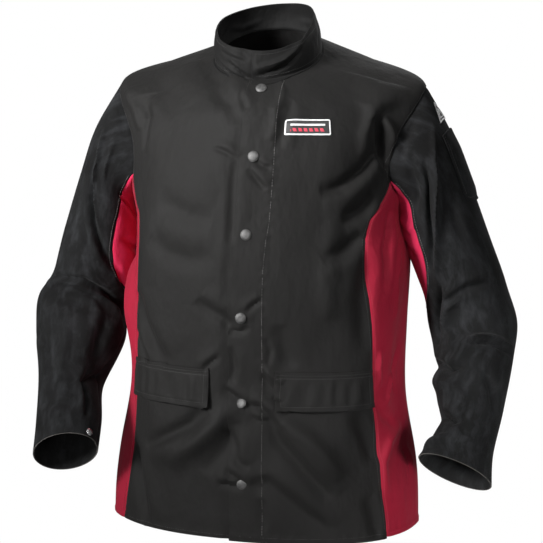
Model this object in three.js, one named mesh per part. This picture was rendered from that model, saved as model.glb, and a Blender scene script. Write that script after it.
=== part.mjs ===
// A welding jacket in the shape it has when worn. The body is black cotton, closed by
// snaps down the front and with two flapped pockets. Red cotton side panels run up into the
// armpits and on as gussets under the arms. The sleeves are black suede and the collar stands.
// +X is the wearer's left, -Y the front and +Z up. The origin is the middle of the neck
// opening, at the height where the shoulders meet the collar.

import * as THREE from "three";

// Body, in millimetres: the hem and the shoulder tip are measured down from the origin.
const bodyLength = 740;
const bodyHalfWidth = 221;
const bodyHalfDepth = 150;
const shoulderHalfWidth = 238;
const shoulderDrop = 75;
const armholeDepth = 153;
const chestFall = 55;

// Neck and collar
const neckHalfWidth = 80;
const neckHalfDepth = 78;
const neckLevel = -28;
const neckFrontFall = 34;
const neckBackRise = 36;
const collarHeight = 44;
const collarOver = 16;
const collarUnder = 24;

// Sleeves: the forearms swing forward from the elbow.
const upperArmLength = 280;
const leftForearmLength = 256;
const rightForearmLength = 284;
const bicepsRadius = 66;
const elbowRadius = 62;
const cuffRadius = 51;
const armSpreadDeg = 18;
const armBackDeg = 6;
const leftForearmSwingDeg = 36;
const rightForearmSwingDeg = 43;
const leftForearmSpreadDeg = 0;
const rightForearmSpreadDeg = -6;

// Cloth, leather and the gaps between pieces
const clothWall = 1.5;
const collarWall = 2.4;
const leatherWall = 2;
const flapWall = 2.6;
const badgeWall = 1;
const seamGap = 0.35;
const liftGap = 0.6;

// Front closing
const placketInside = 31;
const placketOutside = 20;
const openingShift = 13;
const snapRadius = 7.5;
const snapHeight = 3.2;
const cuffSnapRadius = 5.5;
const cuffSnapFromEdge = 13;

// Pocket flaps, sleeve pocket and badges
const flapTop = 484;
const flapHeight = 57;
const flapFromOpening = 50;
const flapFromSeam = 3;
const flapFlare = 6;
const sleevePocketTop = 71;
const sleevePocketLength = 112;
const sleevePocketWidth = 86;
const chestBadgeTop = 117;
const chestBadgeHeight = 22;
const chestBadgeWidth = 70;
const chestBadgeFromOpening = 44;
const armBadgeTop = 24;
const armBadgeSize = 32;
const armBadgeForward = 9;

const rad = THREE.MathUtils.degToRad;
const lerp = THREE.MathUtils.lerp;
const smooth = THREE.MathUtils.smoothstep;
const range = (count, make) => Array.from({ length: count }, (_, i) => make(i));
const degrees = THREE.MathUtils.radToDeg;

// An angle in degrees brought between -180 and 180.
const wrapped = (turn) => ((turn + 540) % 360) - 180;

// Rows of a table as objects, one property for each named column.
const table = (names, rows) =>
  rows.map((row) => Object.fromEntries(names.split(" ").map((name, i) => [name, row[i]])));

// A smooth value between the rows of a table, where at counts rows from 0.
function between(rows, name, at) {
  const i = Math.min(Math.max(Math.floor(at), 0), rows.length - 2);
  const value = (j) => rows[Math.min(Math.max(j, 0), rows.length - 1)][name];
  const [a, b, c, d] = [value(i - 1), value(i), value(i + 1), value(i + 2)];
  const t = at - i;
  const bend = (2 * a - 5 * b + 4 * c - d) * t + (3 * b - a - 3 * c + d) * t * t;
  return b + 0.5 * t * (c - a + bend);
}

// Sections of the body from the hem up to the armpit. rise is a share of that height, width
// a share of bodyHalfWidth, ahead and behind of bodyHalfDepth and fall of chestFall. seam is
// the angle from the front, in degrees, at which the red side panel starts.
const bodyRows = table("rise width ahead behind fall seam", [
  [0.0, 1.05, 1.0, 0.92, 0.0, 59.5],
  [0.2, 1.0, 1.0, 0.88, 0.0, 58.0],
  [0.4, 0.96, 1.0, 0.85, 0.0, 57.0],
  [0.6, 0.975, 1.01, 0.88, 0.0, 55.5],
  [0.78, 0.995, 1.02, 0.93, 0.1, 51.0],
  [0.91, 0.98, 1.0, 0.96, 0.35, 51.5],
  [1.0, 0.95, 0.97, 0.97, 0.6, 56.0],
]);

// Sections from the armpit over the shoulder to the neck. drop is a share of the height
// between the two rows that it lies between, in, ahead, behind and fall are shares of the way
// from the shoulder tip's size to the neck's.
const armpitLevel = -shoulderDrop - armholeDepth;
const tip = {
  ahead: 0.92 * bodyHalfDepth,
  behind: 0.67 * bodyHalfDepth,
  middle: 0.12 * bodyHalfDepth,
};
const neckMiddle = 4;
const yokeRows = table("inward up ahead behind fall box", [
  [0.0, 0.0, 0.0, 0.0, 0.0, -0.1],
  [0.36, 0.47, 0.27, 0.1, 0.35, -0.08],
  [0.72, 0.79, 0.62, 0.5, 0.7, -0.04],
  [1.0, 1.0, 1.0, 1.0, 1.0, 0.0],
]);

// The section between the armpit and the shoulder tip, as shares of armholeDepth, of
// shoulderHalfWidth, of bodyHalfDepth, of the tip's middle and of chestFall.
const midArmhole = { rise: 0.52, width: 0.925, ahead: 0.95, behind: 0.86, middle: 0.4, fall: 0.8 };

// How far the sections bulge at their corners, as a share of their size, and how much less
// they rise behind than they fall in front.
const bodyBox = 0.035;
const riseShare = 0.5;
const tipRiseShare = 0.6;

const sections = [
  ...bodyRows.map((r) => ({
    level: lerp(-bodyLength, armpitLevel, r.rise),
    width: r.width * bodyHalfWidth,
    ahead: r.ahead * bodyHalfDepth,
    behind: r.behind * bodyHalfDepth,
    middle: 0,
    fall: r.fall * chestFall,
    rise: r.fall * chestFall * riseShare,
    seam: r.seam,
    box: bodyBox,
  })),
  {
    level: armpitLevel + midArmhole.rise * armholeDepth,
    width: midArmhole.width * shoulderHalfWidth,
    ahead: midArmhole.ahead * bodyHalfDepth,
    behind: midArmhole.behind * bodyHalfDepth,
    middle: midArmhole.middle * tip.middle,
    fall: midArmhole.fall * chestFall,
    rise: midArmhole.fall * chestFall * riseShare,
    seam: 90,
    box: 0,
  },
  ...yokeRows.map((r) => ({
    level: lerp(-shoulderDrop, neckLevel, r.up),
    width: lerp(shoulderHalfWidth, neckHalfWidth, r.inward),
    ahead: lerp(tip.ahead, neckHalfDepth, r.ahead),
    behind: lerp(tip.behind, neckHalfDepth, r.behind),
    middle: lerp(tip.middle, neckMiddle, r.ahead),
    fall: lerp(chestFall, neckFrontFall, r.fall),
    rise: lerp(tipRiseShare * chestFall, neckBackRise, r.fall),
    seam: 90,
    box: r.box,
  })),
];
const armpitRow = bodyRows.length - 1;
const tipRow = armpitRow + 2;
const neckRow = sections.length - 1;
const sectionAt = (row) =>
  Object.fromEntries(Object.keys(sections[0]).map((name) => [name, between(sections, name, row)]));

// The body's smooth outside, without folds. turn is the angle from the front in degrees,
// positive to the wearer's left, and row counts the sections.
function bodyShape(turn, row) {
  const s = sectionAt(row);
  const [sin, cos] = [Math.sin(rad(turn)), Math.cos(rad(turn))];
  const swell = 1 + s.box * Math.sin(2 * rad(turn)) ** 2;
  const front = cos > 0;
  return new THREE.Vector3(
    s.width * sin * swell,
    s.middle - (front ? s.ahead : s.behind) * cos * swell,
    s.level - (front ? s.fall : s.rise) * cos,
  );
}

// Soft folds of the body. turn and level place the middle, level as a share of bodyLength
// below the origin; lean is the fold's angle from upright, and length, width and height, with
// hollows negative, are shares of bodyHalfWidth.
const bodyFolds = table("turn level lean length width height", [
  [36, 0.19, 12, 0.36, 0.16, 0.03],
  [58, 0.22, 14, 0.4, 0.17, -0.04],
  [-58, 0.22, -14, 0.4, 0.17, -0.03],
  [40, 0.39, 40, 0.5, 0.2, -0.03],
  [24, 0.62, 52, 0.5, 0.16, -0.02],
  [-34, 0.8, -38, 0.55, 0.18, 0.035],
  [-18, 0.88, -30, 0.5, 0.16, -0.025],
  [30, 0.82, 35, 0.6, 0.17, 0.03],
  [82, 0.64, 8, 0.9, 0.16, -0.04],
  [-72, 0.97, 0, 0.5, 0.2, 0.045],
  [98, 0.88, -6, 0.6, 0.16, 0.045],
  [-84, 0.56, 0, 0.6, 0.16, -0.04],
  [-80, 0.86, 6, 0.6, 0.16, 0.045],
  [140, 0.5, 25, 0.9, 0.2, 0.035],
  [-145, 0.55, -25, 0.9, 0.2, 0.035],
  [180, 0.78, 4, 1.0, 0.24, -0.035],
]);
const foldRound = 1.2;
function bodyFoldHeight(turn, point) {
  let total = 0;
  for (const f of bodyFolds) {
    const across = rad(wrapped(turn - f.turn)) * bodyHalfDepth * foldRound;
    const up = point.z + f.level * bodyLength;
    const [c, s] = [Math.cos(rad(f.lean)), Math.sin(rad(f.lean))];
    const along = (up * c + across * s) / (f.length * bodyHalfWidth);
    const off = (across * c - up * s) / (f.width * bodyHalfWidth);
    total += f.height * bodyHalfWidth * Math.exp(-along * along * 2 - off * off);
  }
  return total;
}

// A surface's outward normal, from its own small steps.
function normalOf(shape, u, v, stepU, stepV) {
  const at = shape(u, v);
  const alongU = shape(u + stepU, v).sub(at);
  const alongV = shape(u, v + stepV).sub(at);
  return alongU.cross(alongV).normalize();
}

const turnStep = 0.2;
const rowStep = 0.01;
const bodyNormal = (turn, row) => {
  const step = row > neckRow - rowStep ? -rowStep : rowStep;
  return normalOf(bodyShape, turn, row, turnStep, step).multiplyScalar(Math.sign(step));
};
const bodySurface = (turn, row) => {
  const point = bodyShape(turn, row);
  return point.addScaledVector(bodyNormal(turn, row), bodyFoldHeight(turn, point));
};
const onBody = (turn, row) => ({ point: bodySurface(turn, row), normal: bodyNormal(turn, row) });

// The armhole, a loop round the side of the body. around is 0 at the shoulder tip, 90 in
// front, 180 in the armpit and 270 behind; side is 1 for the wearer's left.
const armholeFrontDeg = 22;
const armholeBackDeg = 18;
const armholeLean = 0.25;
const armholeRow = (around) => lerp(armpitRow, tipRow, (1 + Math.cos(rad(around))) / 2);
function armholeTurn(around) {
  const across = Math.sin(rad(around)) * (1 - armholeLean * Math.cos(rad(around)));
  return 90 - (across > 0 ? armholeFrontDeg : armholeBackDeg) * across;
}

// The front and back edges of the red panel, as angles from the front.
const gussetHalfDeg = 56;
const gussetRow = armholeRow(180 - gussetHalfDeg);
const seamMeetRows = 0.4;
function sideSeam(row, behind) {
  const meet = armholeTurn(behind ? 180 + gussetHalfDeg : 180 - gussetHalfDeg);
  const own = between(sections, "seam", Math.min(row, armpitRow));
  const seam = behind ? 180 - own : own;
  return lerp(seam, meet, smooth(row, armpitRow - seamMeetRows, gussetRow));
}

// One closed wall from a grid of points and outward normals.
function wallOf(across, up, thickness, at) {
  const cells = [across + 1, up + 1];
  const count = cells[0] * cells[1];
  const positions = new Float32Array(count * 6);
  for (let j = 0; j < cells[1]; j++) {
    for (let i = 0; i < cells[0]; i++) {
      const { point, normal, wall = thickness } = at(i, j);
      const k = j * cells[0] + i;
      positions.set(point.toArray(), 3 * k);
      positions.set(point.clone().addScaledVector(normal, -wall).toArray(), 3 * (count + k));
    }
  }
  const index = [];
  const quad = (a, b, c, d) => index.push(a, b, c, a, c, d);
  const id = (i, j) => j * cells[0] + i;
  for (let j = 0; j < up; j++) {
    for (let i = 0; i < across; i++) {
      const [a, b, c, d] = [id(i, j), id(i + 1, j), id(i + 1, j + 1), id(i, j + 1)];
      quad(a, b, c, d);
      quad(a + count, d + count, c + count, b + count);
    }
  }
  const rim = (a, b) => quad(b, a, a + count, b + count);
  for (let i = 0; i < across; i++) {
    rim(id(i, 0), id(i + 1, 0));
    rim(id(i + 1, up), id(i, up));
  }
  for (let j = 0; j < up; j++) {
    rim(id(across, j), id(across, j + 1));
    rim(id(0, j + 1), id(0, j));
  }
  const geometry = new THREE.BufferGeometry();
  geometry.setAttribute("position", new THREE.BufferAttribute(positions, 3));
  geometry.setIndex(index);
  geometry.computeVertexNormals();
  return geometry;
}

const finish = (color, roughness, metalness = 0) =>
  new THREE.MeshStandardMaterial({ color, roughness, metalness });
const blackCotton = finish(0x2e2d2c, 0.8);
const redCotton = finish(0x9c1a30, 0.75);
const blackSuede = finish(0x1c1c1d, 0.95);
const darkMetal = finish(0x55585a, 0.4, 0.8);
const brightMetal = finish(0xc9c9c6, 0.25, 0.9);
const badgeCloth = finish(0x3a3a3a, 0.8);

const jacket = new THREE.Group();
function addPiece(name, geometry, material) {
  const mesh = new THREE.Mesh(geometry, material);
  mesh.name = name;
  jacket.add(mesh);
  return mesh;
}

// Rows of the body panels: even steps up to the gusset, then the armhole's own steps, then
// the yoke.
const lowerSteps = 11;
const lowerRows = range(lowerSteps, (j) => (gussetRow * j) / lowerSteps);
const armholeSteps = 8;
const leatherDeg = 180 - gussetHalfDeg;
const armholeArounds = range(armholeSteps + 1, (j) => leatherDeg * (1 - j / armholeSteps));
const yokeSteps = 5;
const yokeRow = (step) => lerp(tipRow, neckRow, step / yokeSteps);
const panelRows = [
  ...lowerRows.map((row) => ({ row })),
  ...armholeArounds.map((around) => ({ row: armholeRow(around), around })),
  ...range(yokeSteps, (j) => ({ row: yokeRow(j + 1) })),
];

// Half a seam's gap as an angle round the body, with an allowance for seams that slant.
const seamSlant = 1.6;
const halfGapDeg = (row) => degrees(seamGap / 2 / sectionAt(row).width) * seamSlant;

// The outer edge of a front or back panel on the wearer's left, less half the seam's gap.
function panelEdge({ row, around }, behind) {
  let turn = 90;
  if (around !== undefined) turn = armholeTurn(behind ? 360 - around : around);
  else if (row < gussetRow) turn = sideSeam(row, behind);
  return behind ? turn + halfGapDeg(row) : turn - halfGapDeg(row);
}

// The angle from the front at which the body is x millimetres to the wearer's left of the
// opening. The opening itself drifts left towards the neck.
const driftRows = [armpitRow - 3, armpitRow + 1.5];
const openingAt = (row) => openingShift * smooth(row, driftRows[0], driftRows[1]);
const turnAt = (x, row) => degrees(Math.asin((x + openingAt(row)) / sectionAt(row).width));

// Front panels. The wearer's left one lies on top and the right one tucks in behind it.
const frontSteps = 9;
const overlapMiddle = 4;
const overlapSteps = [-placketOutside, overlapMiddle, placketInside];
const tuckStart = -placketOutside - 2;
const tuckRamp = 14;
const tuckDepth = clothWall + liftGap;
function frontPanel(side) {
  const under = side < 0;
  const inner = under
    ? [placketInside, overlapMiddle, tuckStart, tuckStart - tuckRamp]
    : overlapSteps;
  const across = inner.length - 1 + frontSteps;
  return wallOf(across, panelRows.length - 1, clothWall, (i, j) => {
    const rowAt = panelRows[j];
    const { row } = rowAt;
    const column = under ? across - i : i;
    const start = turnAt(inner[Math.min(column, inner.length - 1)], row);
    const share = Math.max(0, column - inner.length + 1) / frontSteps;
    const turn = lerp(start, side * panelEdge(rowAt, false), share);
    const normal = bodyNormal(turn, row);
    const tuck = under && column < inner.length - 1 ? tuckDepth : 0;
    return { point: bodySurface(turn, row).addScaledVector(normal, -tuck), normal };
  });
}
addPiece("front_left", frontPanel(1), blackCotton);
addPiece("front_right", frontPanel(-1), blackCotton);

// The back is one piece from side seam to side seam.
const backSteps = 16;
const backPanel = wallOf(backSteps, panelRows.length - 1, clothWall, (i, j) => {
  const edge = panelEdge(panelRows[j], true);
  return onBody(lerp(edge, 360 - edge, i / backSteps), panelRows[j].row);
});
addPiece("back_panel", backPanel, blackCotton);

// Red side panels, whose top edge is the bottom of the armhole.
const gussetColumns = 8;
const gussetStep = (2 * gussetHalfDeg) / gussetColumns;
function sidePanel(side) {
  const front = armholeTurn(180 - gussetHalfDeg);
  const back = armholeTurn(180 + gussetHalfDeg);
  return wallOf(gussetColumns, lowerSteps, clothWall, (i, j) => {
    const column = side > 0 ? i : gussetColumns - i;
    const around = 180 - gussetHalfDeg + column * gussetStep;
    const share = (armholeTurn(around) - front) / (back - front);
    const seamRow = (gussetRow * j) / lowerSteps;
    const row = (armholeRow(around) * j) / lowerSteps;
    const gap = halfGapDeg(row);
    const turn =
      side * lerp(sideSeam(seamRow, false) + gap, sideSeam(seamRow, true) - gap, share);
    return onBody(turn, row);
  });
}
addPiece("side_panel_left", sidePanel(1), redCotton);
addPiece("side_panel_right", sidePanel(-1), redCotton);

// Rings of a sleeve from the armhole to the cuff. along runs 0 to 1 from the armhole to the
// elbow and 1 to 2 on to the cuff. front is the half depth; leftWide and rightWide are the
// half widths and leftShift and rightShift the middle's shift outward, of the wearer's left
// and right sleeve, all as shares of the radius there. roll is the tilt of the ring's outer
// side up and pitch the tilt of its front side up, in degrees.
const sleeveRings = table("along front roll pitch leftWide leftShift rightWide rightShift", [
  [0.0, 1.0, 78, 0, 1.0, 0.0, 1.0, 0.0],
  [0.2, 1.0, 63, 0, 0.99, 0.15, 0.98, 0.14],
  [0.4, 1.04, 43, 0, 0.94, 0.05, 0.93, 0.04],
  [0.65, 1.05, 24, 0, 0.95, 0.01, 0.95, -0.01],
  [0.86, 1.04, 14, 6, 1.0, 0.02, 0.96, 0.0],
  [1.04, 1.04, 6, 20, 1.1, 0.02, 1.12, 0.1],
  [1.25, 1.0, 0, 36, 1.02, 0.14, 1.21, 0.0],
  [1.55, 1.0, -6, 40, 0.9, 0.22, 0.95, 0.04],
  [1.82, 1.0, -12, 42, 0.85, 0.18, 0.99, -0.06],
  [2.0, 1.0, -16, 44, 1.1, 0.04, 1.04, -0.1],
]);
const lastRing = sleeveRings.length - 1;

// Soft folds of each sleeve. around and along place the middle; lean is the fold's angle from
// the sleeve's length, and length, width and height, with hollows negative, are shares of
// bicepsRadius.
const foldNames = "around along lean length width height";
const leftSleeveFolds = table(foldNames, [
  [95, 0.55, 6, 1.5, 0.4, -0.09],
  [20, 0.98, 70, 0.9, 0.4, -0.06],
  [120, 1.2, 60, 0.9, 0.4, -0.08],
  [40, 1.45, -60, 0.9, 0.4, -0.06],
]);
const rightSleeveFolds = table(foldNames, [
  [75, 0.5, -4, 1.5, 0.4, -0.09],
  [0, 0.93, 90, 0.8, 0.35, -0.1],
  [80, 1.08, 70, 1.2, 0.4, -0.09],
  [165, 1.5, 70, 0.8, 0.35, -0.12],
]);
function sleeveFoldHeight(folds, around, along) {
  let total = 0;
  for (const f of folds) {
    const across = rad(wrapped(around - f.around));
    const length = along < 1 ? upperArmLength : rightForearmLength;
    const down = ((along - f.along) * length) / bicepsRadius;
    const [c, s] = [Math.cos(rad(f.lean)), Math.sin(rad(f.lean))];
    const far = (down * c + across * s) / f.length;
    const off = (across * c - down * s) / f.width;
    total += f.height * bicepsRadius * Math.exp(-far * far * 2 - off * off);
  }
  return total;
}

const armholePoint = (around) => bodySurface(armholeTurn(around), armholeRow(around));
const armholeMiddle = armholePoint(0).add(armholePoint(180)).multiplyScalar(0.5);

// The middle line of a sleeve, mirrored to the wearer's left side.
function armPath(side) {
  const spread = rad(armSpreadDeg);
  const upper = new THREE.Vector3(Math.sin(spread), Math.sin(rad(armBackDeg)), -Math.cos(spread));
  const elbow = armholeMiddle.clone().addScaledVector(upper.normalize(), upperArmLength);
  const out = rad(side > 0 ? leftForearmSpreadDeg : rightForearmSpreadDeg);
  const swing = rad(side > 0 ? leftForearmSwingDeg : rightForearmSwingDeg);
  const fore = new THREE.Vector3(Math.sin(out), -Math.sin(swing), -Math.cos(swing)).normalize();
  const forearm = side > 0 ? leftForearmLength : rightForearmLength;
  const cuff = elbow.clone().addScaledVector(fore, forearm);
  return (along) =>
    along < 1
      ? armholeMiddle.clone().lerp(elbow, along)
      : elbow.clone().lerp(cuff, along - 1);
}

// A sleeve's smooth outside, mirrored to the wearer's left side. around goes round as at the
// armhole and at counts the rings.
function sleeveShape(side) {
  const path = armPath(side);
  const [wide, shift] = side > 0 ? ["leftWide", "leftShift"] : ["rightWide", "rightShift"];
  const swingShare = side > 0 ? leftForearmSwingDeg / rightForearmSwingDeg : 1;
  const radii = [bicepsRadius, elbowRadius, cuffRadius];
  const rings = sleeveRings.map((r) => {
    const below = Math.min(Math.floor(r.along), 1);
    const radius = lerp(radii[below], radii[below + 1], r.along - below);
    return { ...r, radius, middle: path(r.along) };
  });
  const ringPoint = (ring, around) => {
    if (ring.along === 0) return armholePoint(around);
    const [roll, pitch] = [rad(ring.roll), rad(ring.pitch * swingShare)];
    const outward = new THREE.Vector3(Math.cos(roll), 0, Math.sin(roll));
    const forward = new THREE.Vector3(0, -Math.cos(pitch), Math.sin(pitch));
    const out = ring[shift] + ring[wide] * Math.cos(rad(around));
    return ring.middle
      .clone()
      .addScaledVector(outward, ring.radius * out)
      .addScaledVector(forward, ring.radius * ring.front * Math.sin(rad(around)));
  };
  return (around, at) => {
    const points = rings.map((ring) => ringPoint(ring, around));
    return new THREE.Vector3(
      between(points, "x", at),
      between(points, "y", at),
      between(points, "z", at),
    );
  };
}

// A sleeve's outside with its folds. The seam edge is lifted clear of the body's edge, and
// its wall there turns no further in than the body's own edge.
const foldsStart = 0.25;
function sleeveSurface(side) {
  const shape = sleeveShape(side);
  const folds = side > 0 ? leftSleeveFolds : rightSleeveFolds;
  const small = 0.02;
  return (around, at) => {
    const point = shape(around, at);
    const step = at > lastRing - small ? -small : small;
    const normal = normalOf(shape, around, at, 1, step).multiplyScalar(Math.sign(step));
    const along = between(sleeveRings, "along", at);
    const free = smooth(along, 0, foldsStart);
    point.addScaledVector(normal, free * sleeveFoldHeight(folds, around, along));
    if (at === 0) {
      const down = shape(around, small).sub(point).normalize();
      const onward = armholePoint(around + 1).sub(armholePoint(around - 1)).normalize();
      const edge = bodyNormal(armholeTurn(around), armholeRow(around));
      const beyond = edge.clone().cross(onward).normalize();
      const folded = Math.max(0, -down.dot(beyond));
      point.addScaledVector(beyond, seamGap).addScaledVector(edge, seamGap * folded);
      normal.addScaledVector(beyond, -Math.max(0, normal.dot(beyond))).normalize();
    }
    return { point, normal };
  };
}
const mirrored = ({ point, normal }, side) => ({
  point: point.multiply(new THREE.Vector3(side, 1, 1)),
  normal: normal.multiply(new THREE.Vector3(side, 1, 1)),
});

// Steps along a sleeve. The red gusset narrows to nothing in gussetSteps and swings forward on
// the way; below it the sleeve closes on its own seam.
const sleeveSteps = 22;
const sleeveAt = range(sleeveSteps + 1, (j) => (lastRing * j) / sleeveSteps);
const gussetSteps = 11;
const slitDeg = 0.4;
const gussetTurnDeg = -10;
const gussetWidths = table("half", [[gussetHalfDeg], [36], [36], [43], [45], [31], [2.5]]);
const gussetShare = (at) => Math.min(at / sleeveAt[gussetSteps], 1);
const gussetMiddle = (at) => 180 + gussetTurnDeg * Math.sin(Math.PI * gussetShare(at));
const gussetHalf = (at) =>
  at > sleeveAt[gussetSteps]
    ? slitDeg
    : between(gussetWidths, "half", gussetShare(at) * (gussetWidths.length - 1));
const sleeveColumns = 2 * armholeSteps;
// Half the gap along the gusset's seams, wider where the sleeve turns sharply at the armhole.
const edgeDeg = degrees(seamGap / cuffRadius) * 0.7;
const turnedEdge = 3;
const turnedRings = 0.9;
const edgeGap = (at) => edgeDeg * lerp(turnedEdge, 1, smooth(at, 0, turnedRings));

function leatherSleeve(side) {
  const surface = sleeveSurface(side);
  return wallOf(sleeveColumns, sleeveSteps, leatherWall, (i, j) => {
    const column = side > 0 ? i : sleeveColumns - i;
    const at = sleeveAt[j];
    const half = gussetHalf(at) + edgeGap(at);
    const around = gussetMiddle(at) + lerp(half, 360 - half, column / sleeveColumns);
    return mirrored(surface(around % 360, at), side);
  });
}
addPiece("sleeve_left", leatherSleeve(1), blackSuede);
addPiece("sleeve_right", leatherSleeve(-1), blackSuede);

function armGusset(side) {
  const surface = sleeveSurface(side);
  return wallOf(gussetColumns, gussetSteps, clothWall, (i, j) => {
    const column = side > 0 ? i : gussetColumns - i;
    const at = sleeveAt[j];
    const half = gussetHalf(at) - edgeGap(at);
    const around = gussetMiddle(at) + lerp(-half, half, column / gussetColumns);
    return mirrored(surface(around, at), side);
  });
}
addPiece("arm_gusset_left", armGusset(1), redCotton);
addPiece("arm_gusset_right", armGusset(-1), redCotton);

// The standing collar is one strip. It starts at its left end, which lies over the right end.
const collarSwell = 3;
const collarRim = { width: 0.97, ahead: 1.02, behind: 0.93, back: 0.82 };
function collarShape(turn, share) {
  const base = bodySurface(turn, neckRow);
  const [sin, cos] = [Math.sin(rad(turn)), Math.cos(rad(turn))];
  const depth = cos > 0 ? collarRim.ahead : collarRim.behind;
  const height = collarHeight * lerp(collarRim.back, 1, (1 + cos) / 2);
  const rim = new THREE.Vector3(
    neckHalfWidth * collarRim.width * sin,
    -neckHalfDepth * depth * cos,
    base.z + height,
  );
  const swell = collarSwell * Math.sin(Math.PI * share);
  return base.lerp(rim, share).add(new THREE.Vector3(sin * swell, -cos * swell, 0));
}
const neckDeg = (length) => degrees(length / neckHalfWidth);
const neckOpening = turnAt(0, neckRow);
const collarStart = neckOpening - neckDeg(collarOver);
const collarEnd = 360 + neckOpening + neckDeg(collarUnder);
const collarColumns = 34;
const collarRows = 4;
const collarTuck = collarWall + liftGap;
const tuckTurns = [360 + collarStart - 24, 360 + collarStart - 4];
const collar = wallOf(collarColumns, collarRows, collarWall, (i, j) => {
  const turn = lerp(collarStart, collarEnd, i / collarColumns);
  const share = j / collarRows;
  const normal = normalOf(collarShape, turn, share, 1, 0.01);
  const inset = collarTuck * smooth(turn, tuckTurns[0], tuckTurns[1]);
  const point = collarShape(turn, share).addScaledVector(normal, -inset);
  point.z += (1 - share) * seamGap * 2;
  return { point, normal };
});
addPiece("collar", collar, blackCotton);

// Rivet-like snap caps: a rim, a dome and a flat back.
const snapProfile = table("out up", [
  [0.0, 0.0],
  [1.0, 0.0],
  [1.0, 0.25],
  [0.85, 0.62],
  [0.5, 0.9],
  [0.0, 1.0],
]);
function snapCap(name, radius, { point, normal }, material) {
  const outline = snapProfile.map((r) => new THREE.Vector2(r.out * radius, r.up * snapHeight));
  const cap = addPiece(name, new THREE.LatheGeometry(outline, 16), material);
  cap.quaternion.setFromUnitVectors(new THREE.Vector3(0, 1, 0), normal);
  cap.position.copy(point).addScaledVector(normal, seamGap);
}

// Front snaps, placed down the opening as shares of bodyLength below the origin.
const snapLevels = [0.1, 0.229, 0.381, 0.546, 0.719, 0.886];
function rowAtLevel(turnOf, level) {
  let [low, high] = [0, neckRow];
  for (let i = 0; i < 40; i++) {
    const middle = (low + high) / 2;
    if (bodySurface(turnOf(middle), middle).z < level) low = middle;
    else high = middle;
  }
  return (low + high) / 2;
}
snapLevels.forEach((level, i) => {
  const row = rowAtLevel((r) => turnAt(0, r), -level * bodyLength);
  snapCap(`snap_${i + 1}`, snapRadius, onBody(turnAt(0, row), row), darkMetal);
});

// A layer over the outside of the body or a sleeve, lift clear of it at each place.
const laidOver = ({ point, normal }, lift, wall) => ({
  point: point.addScaledVector(normal, lift + wall),
  normal,
});

// Pocket flaps hang from their top edge and stand off towards the bottom, most of all at the
// corner nearest the opening.
const flapColumns = 8;
const flapRows = 3;
const flapOff = 1.4;
const flapMiddleDeg = 40;
const flapCurl = 1.5;
const seamEndLift = 0.4;
function pocketFlap(side) {
  return wallOf(flapColumns, flapRows, flapWall, (i, j) => {
    const column = side > 0 ? i : flapColumns - i;
    const [share, up] = [column / flapColumns, j / flapRows];
    const level = -(flapTop + flapHeight * (1 - up));
    const row = rowAtLevel(() => side * flapMiddleDeg, level);
    const seam = sideSeam(row, false) - degrees(flapFromSeam / bodyHalfWidth);
    const turn = side * lerp(turnAt(flapFromOpening, row), seam, share);
    const lift = flapOff + flapFlare * (1 - up) ** flapCurl * lerp(1, seamEndLift, share);
    return laidOver(onBody(turn, row), lift, flapWall);
  });
}
addPiece("pocket_flap_left", pocketFlap(1), blackCotton);
addPiece("pocket_flap_right", pocketFlap(-1), blackCotton);

// Badge on the wearer's left chest.
const badgeColumns = 4;
const badgeRows = 2;
const badgeOff = 0.6;
const chestBadge = wallOf(badgeColumns, badgeRows, badgeWall, (i, j) => {
  const level = -(chestBadgeTop + chestBadgeHeight * (1 - j / badgeRows));
  const x = chestBadgeFromOpening + (chestBadgeWidth * i) / badgeColumns;
  const row = rowAtLevel((r) => turnAt(x, r), level);
  return laidOver(onBody(turnAt(x, row), row), badgeOff, badgeWall);
});
addPiece("chest_badge", chestBadge, badgeCloth);

// The place on a sleeve that lies a length below the shoulder tip and across from the
// middle of its outer side, across being positive towards the front.
const leftSleeve = sleeveSurface(1);
function onSleeve(surface, outerDeg, across, length) {
  let [low, high] = [0, lastRing];
  for (let i = 0; i < 30; i++) {
    const middle = (low + high) / 2;
    if (surface(0, middle).point.distanceTo(surface(0, 0).point) < length) low = middle;
    else high = middle;
  }
  const around = outerDeg + degrees(across / bicepsRadius);
  return surface((around + 360) % 360, (low + high) / 2);
}

// Pen pocket on the wearer's left sleeve, with rounded lower corners.
const pocketColumns = 8;
const pocketRows = 5;
const pocketOff = 0.8;
const pocketMiddleDeg = -6;
const pocketCorner = 0.16;
const sleevePocket = wallOf(pocketColumns, pocketRows, leatherWall, (i, j) => {
  const side = (2 * i) / pocketColumns - 1;
  const rounded = pocketCorner * (1 - Math.sqrt(1 - Math.abs(side) ** 5));
  const length = sleevePocketTop + sleevePocketLength * (1 - rounded) * (j / pocketRows);
  const place = onSleeve(leftSleeve, pocketMiddleDeg, (side * sleevePocketWidth) / 2, length);
  return laidOver(place, pocketOff, leatherWall);
});
addPiece("sleeve_pocket", sleevePocket, blackSuede);

// Small badge above the pen pocket.
const armBadge = wallOf(badgeRows, badgeRows, badgeWall, (i, j) => {
  const across = armBadgeForward + armBadgeSize * (i / badgeRows - 0.5);
  const length = armBadgeTop + (armBadgeSize * j) / badgeRows;
  return laidOver(onSleeve(leftSleeve, 0, across, length), badgeOff, badgeWall);
});
addPiece("arm_badge", armBadge, badgeCloth);

// Bright snap at the inner front of the wearer's right cuff.
const cuffSnapDeg = 150;
const forearmRings = 5;
const cuffSnapRing = lastRing - (cuffSnapFromEdge / rightForearmLength) * forearmRings;
const rightSleeve = sleeveSurface(-1);
const cuffSnapPlace = mirrored(rightSleeve(cuffSnapDeg, cuffSnapRing), -1);
snapCap("cuff_snap", cuffSnapRadius, cuffSnapPlace, brightMetal);

export default jacket;
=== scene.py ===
"""A dressed model of the welding jacket: cloth, suede, seams, stitches and snaps."""

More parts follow.
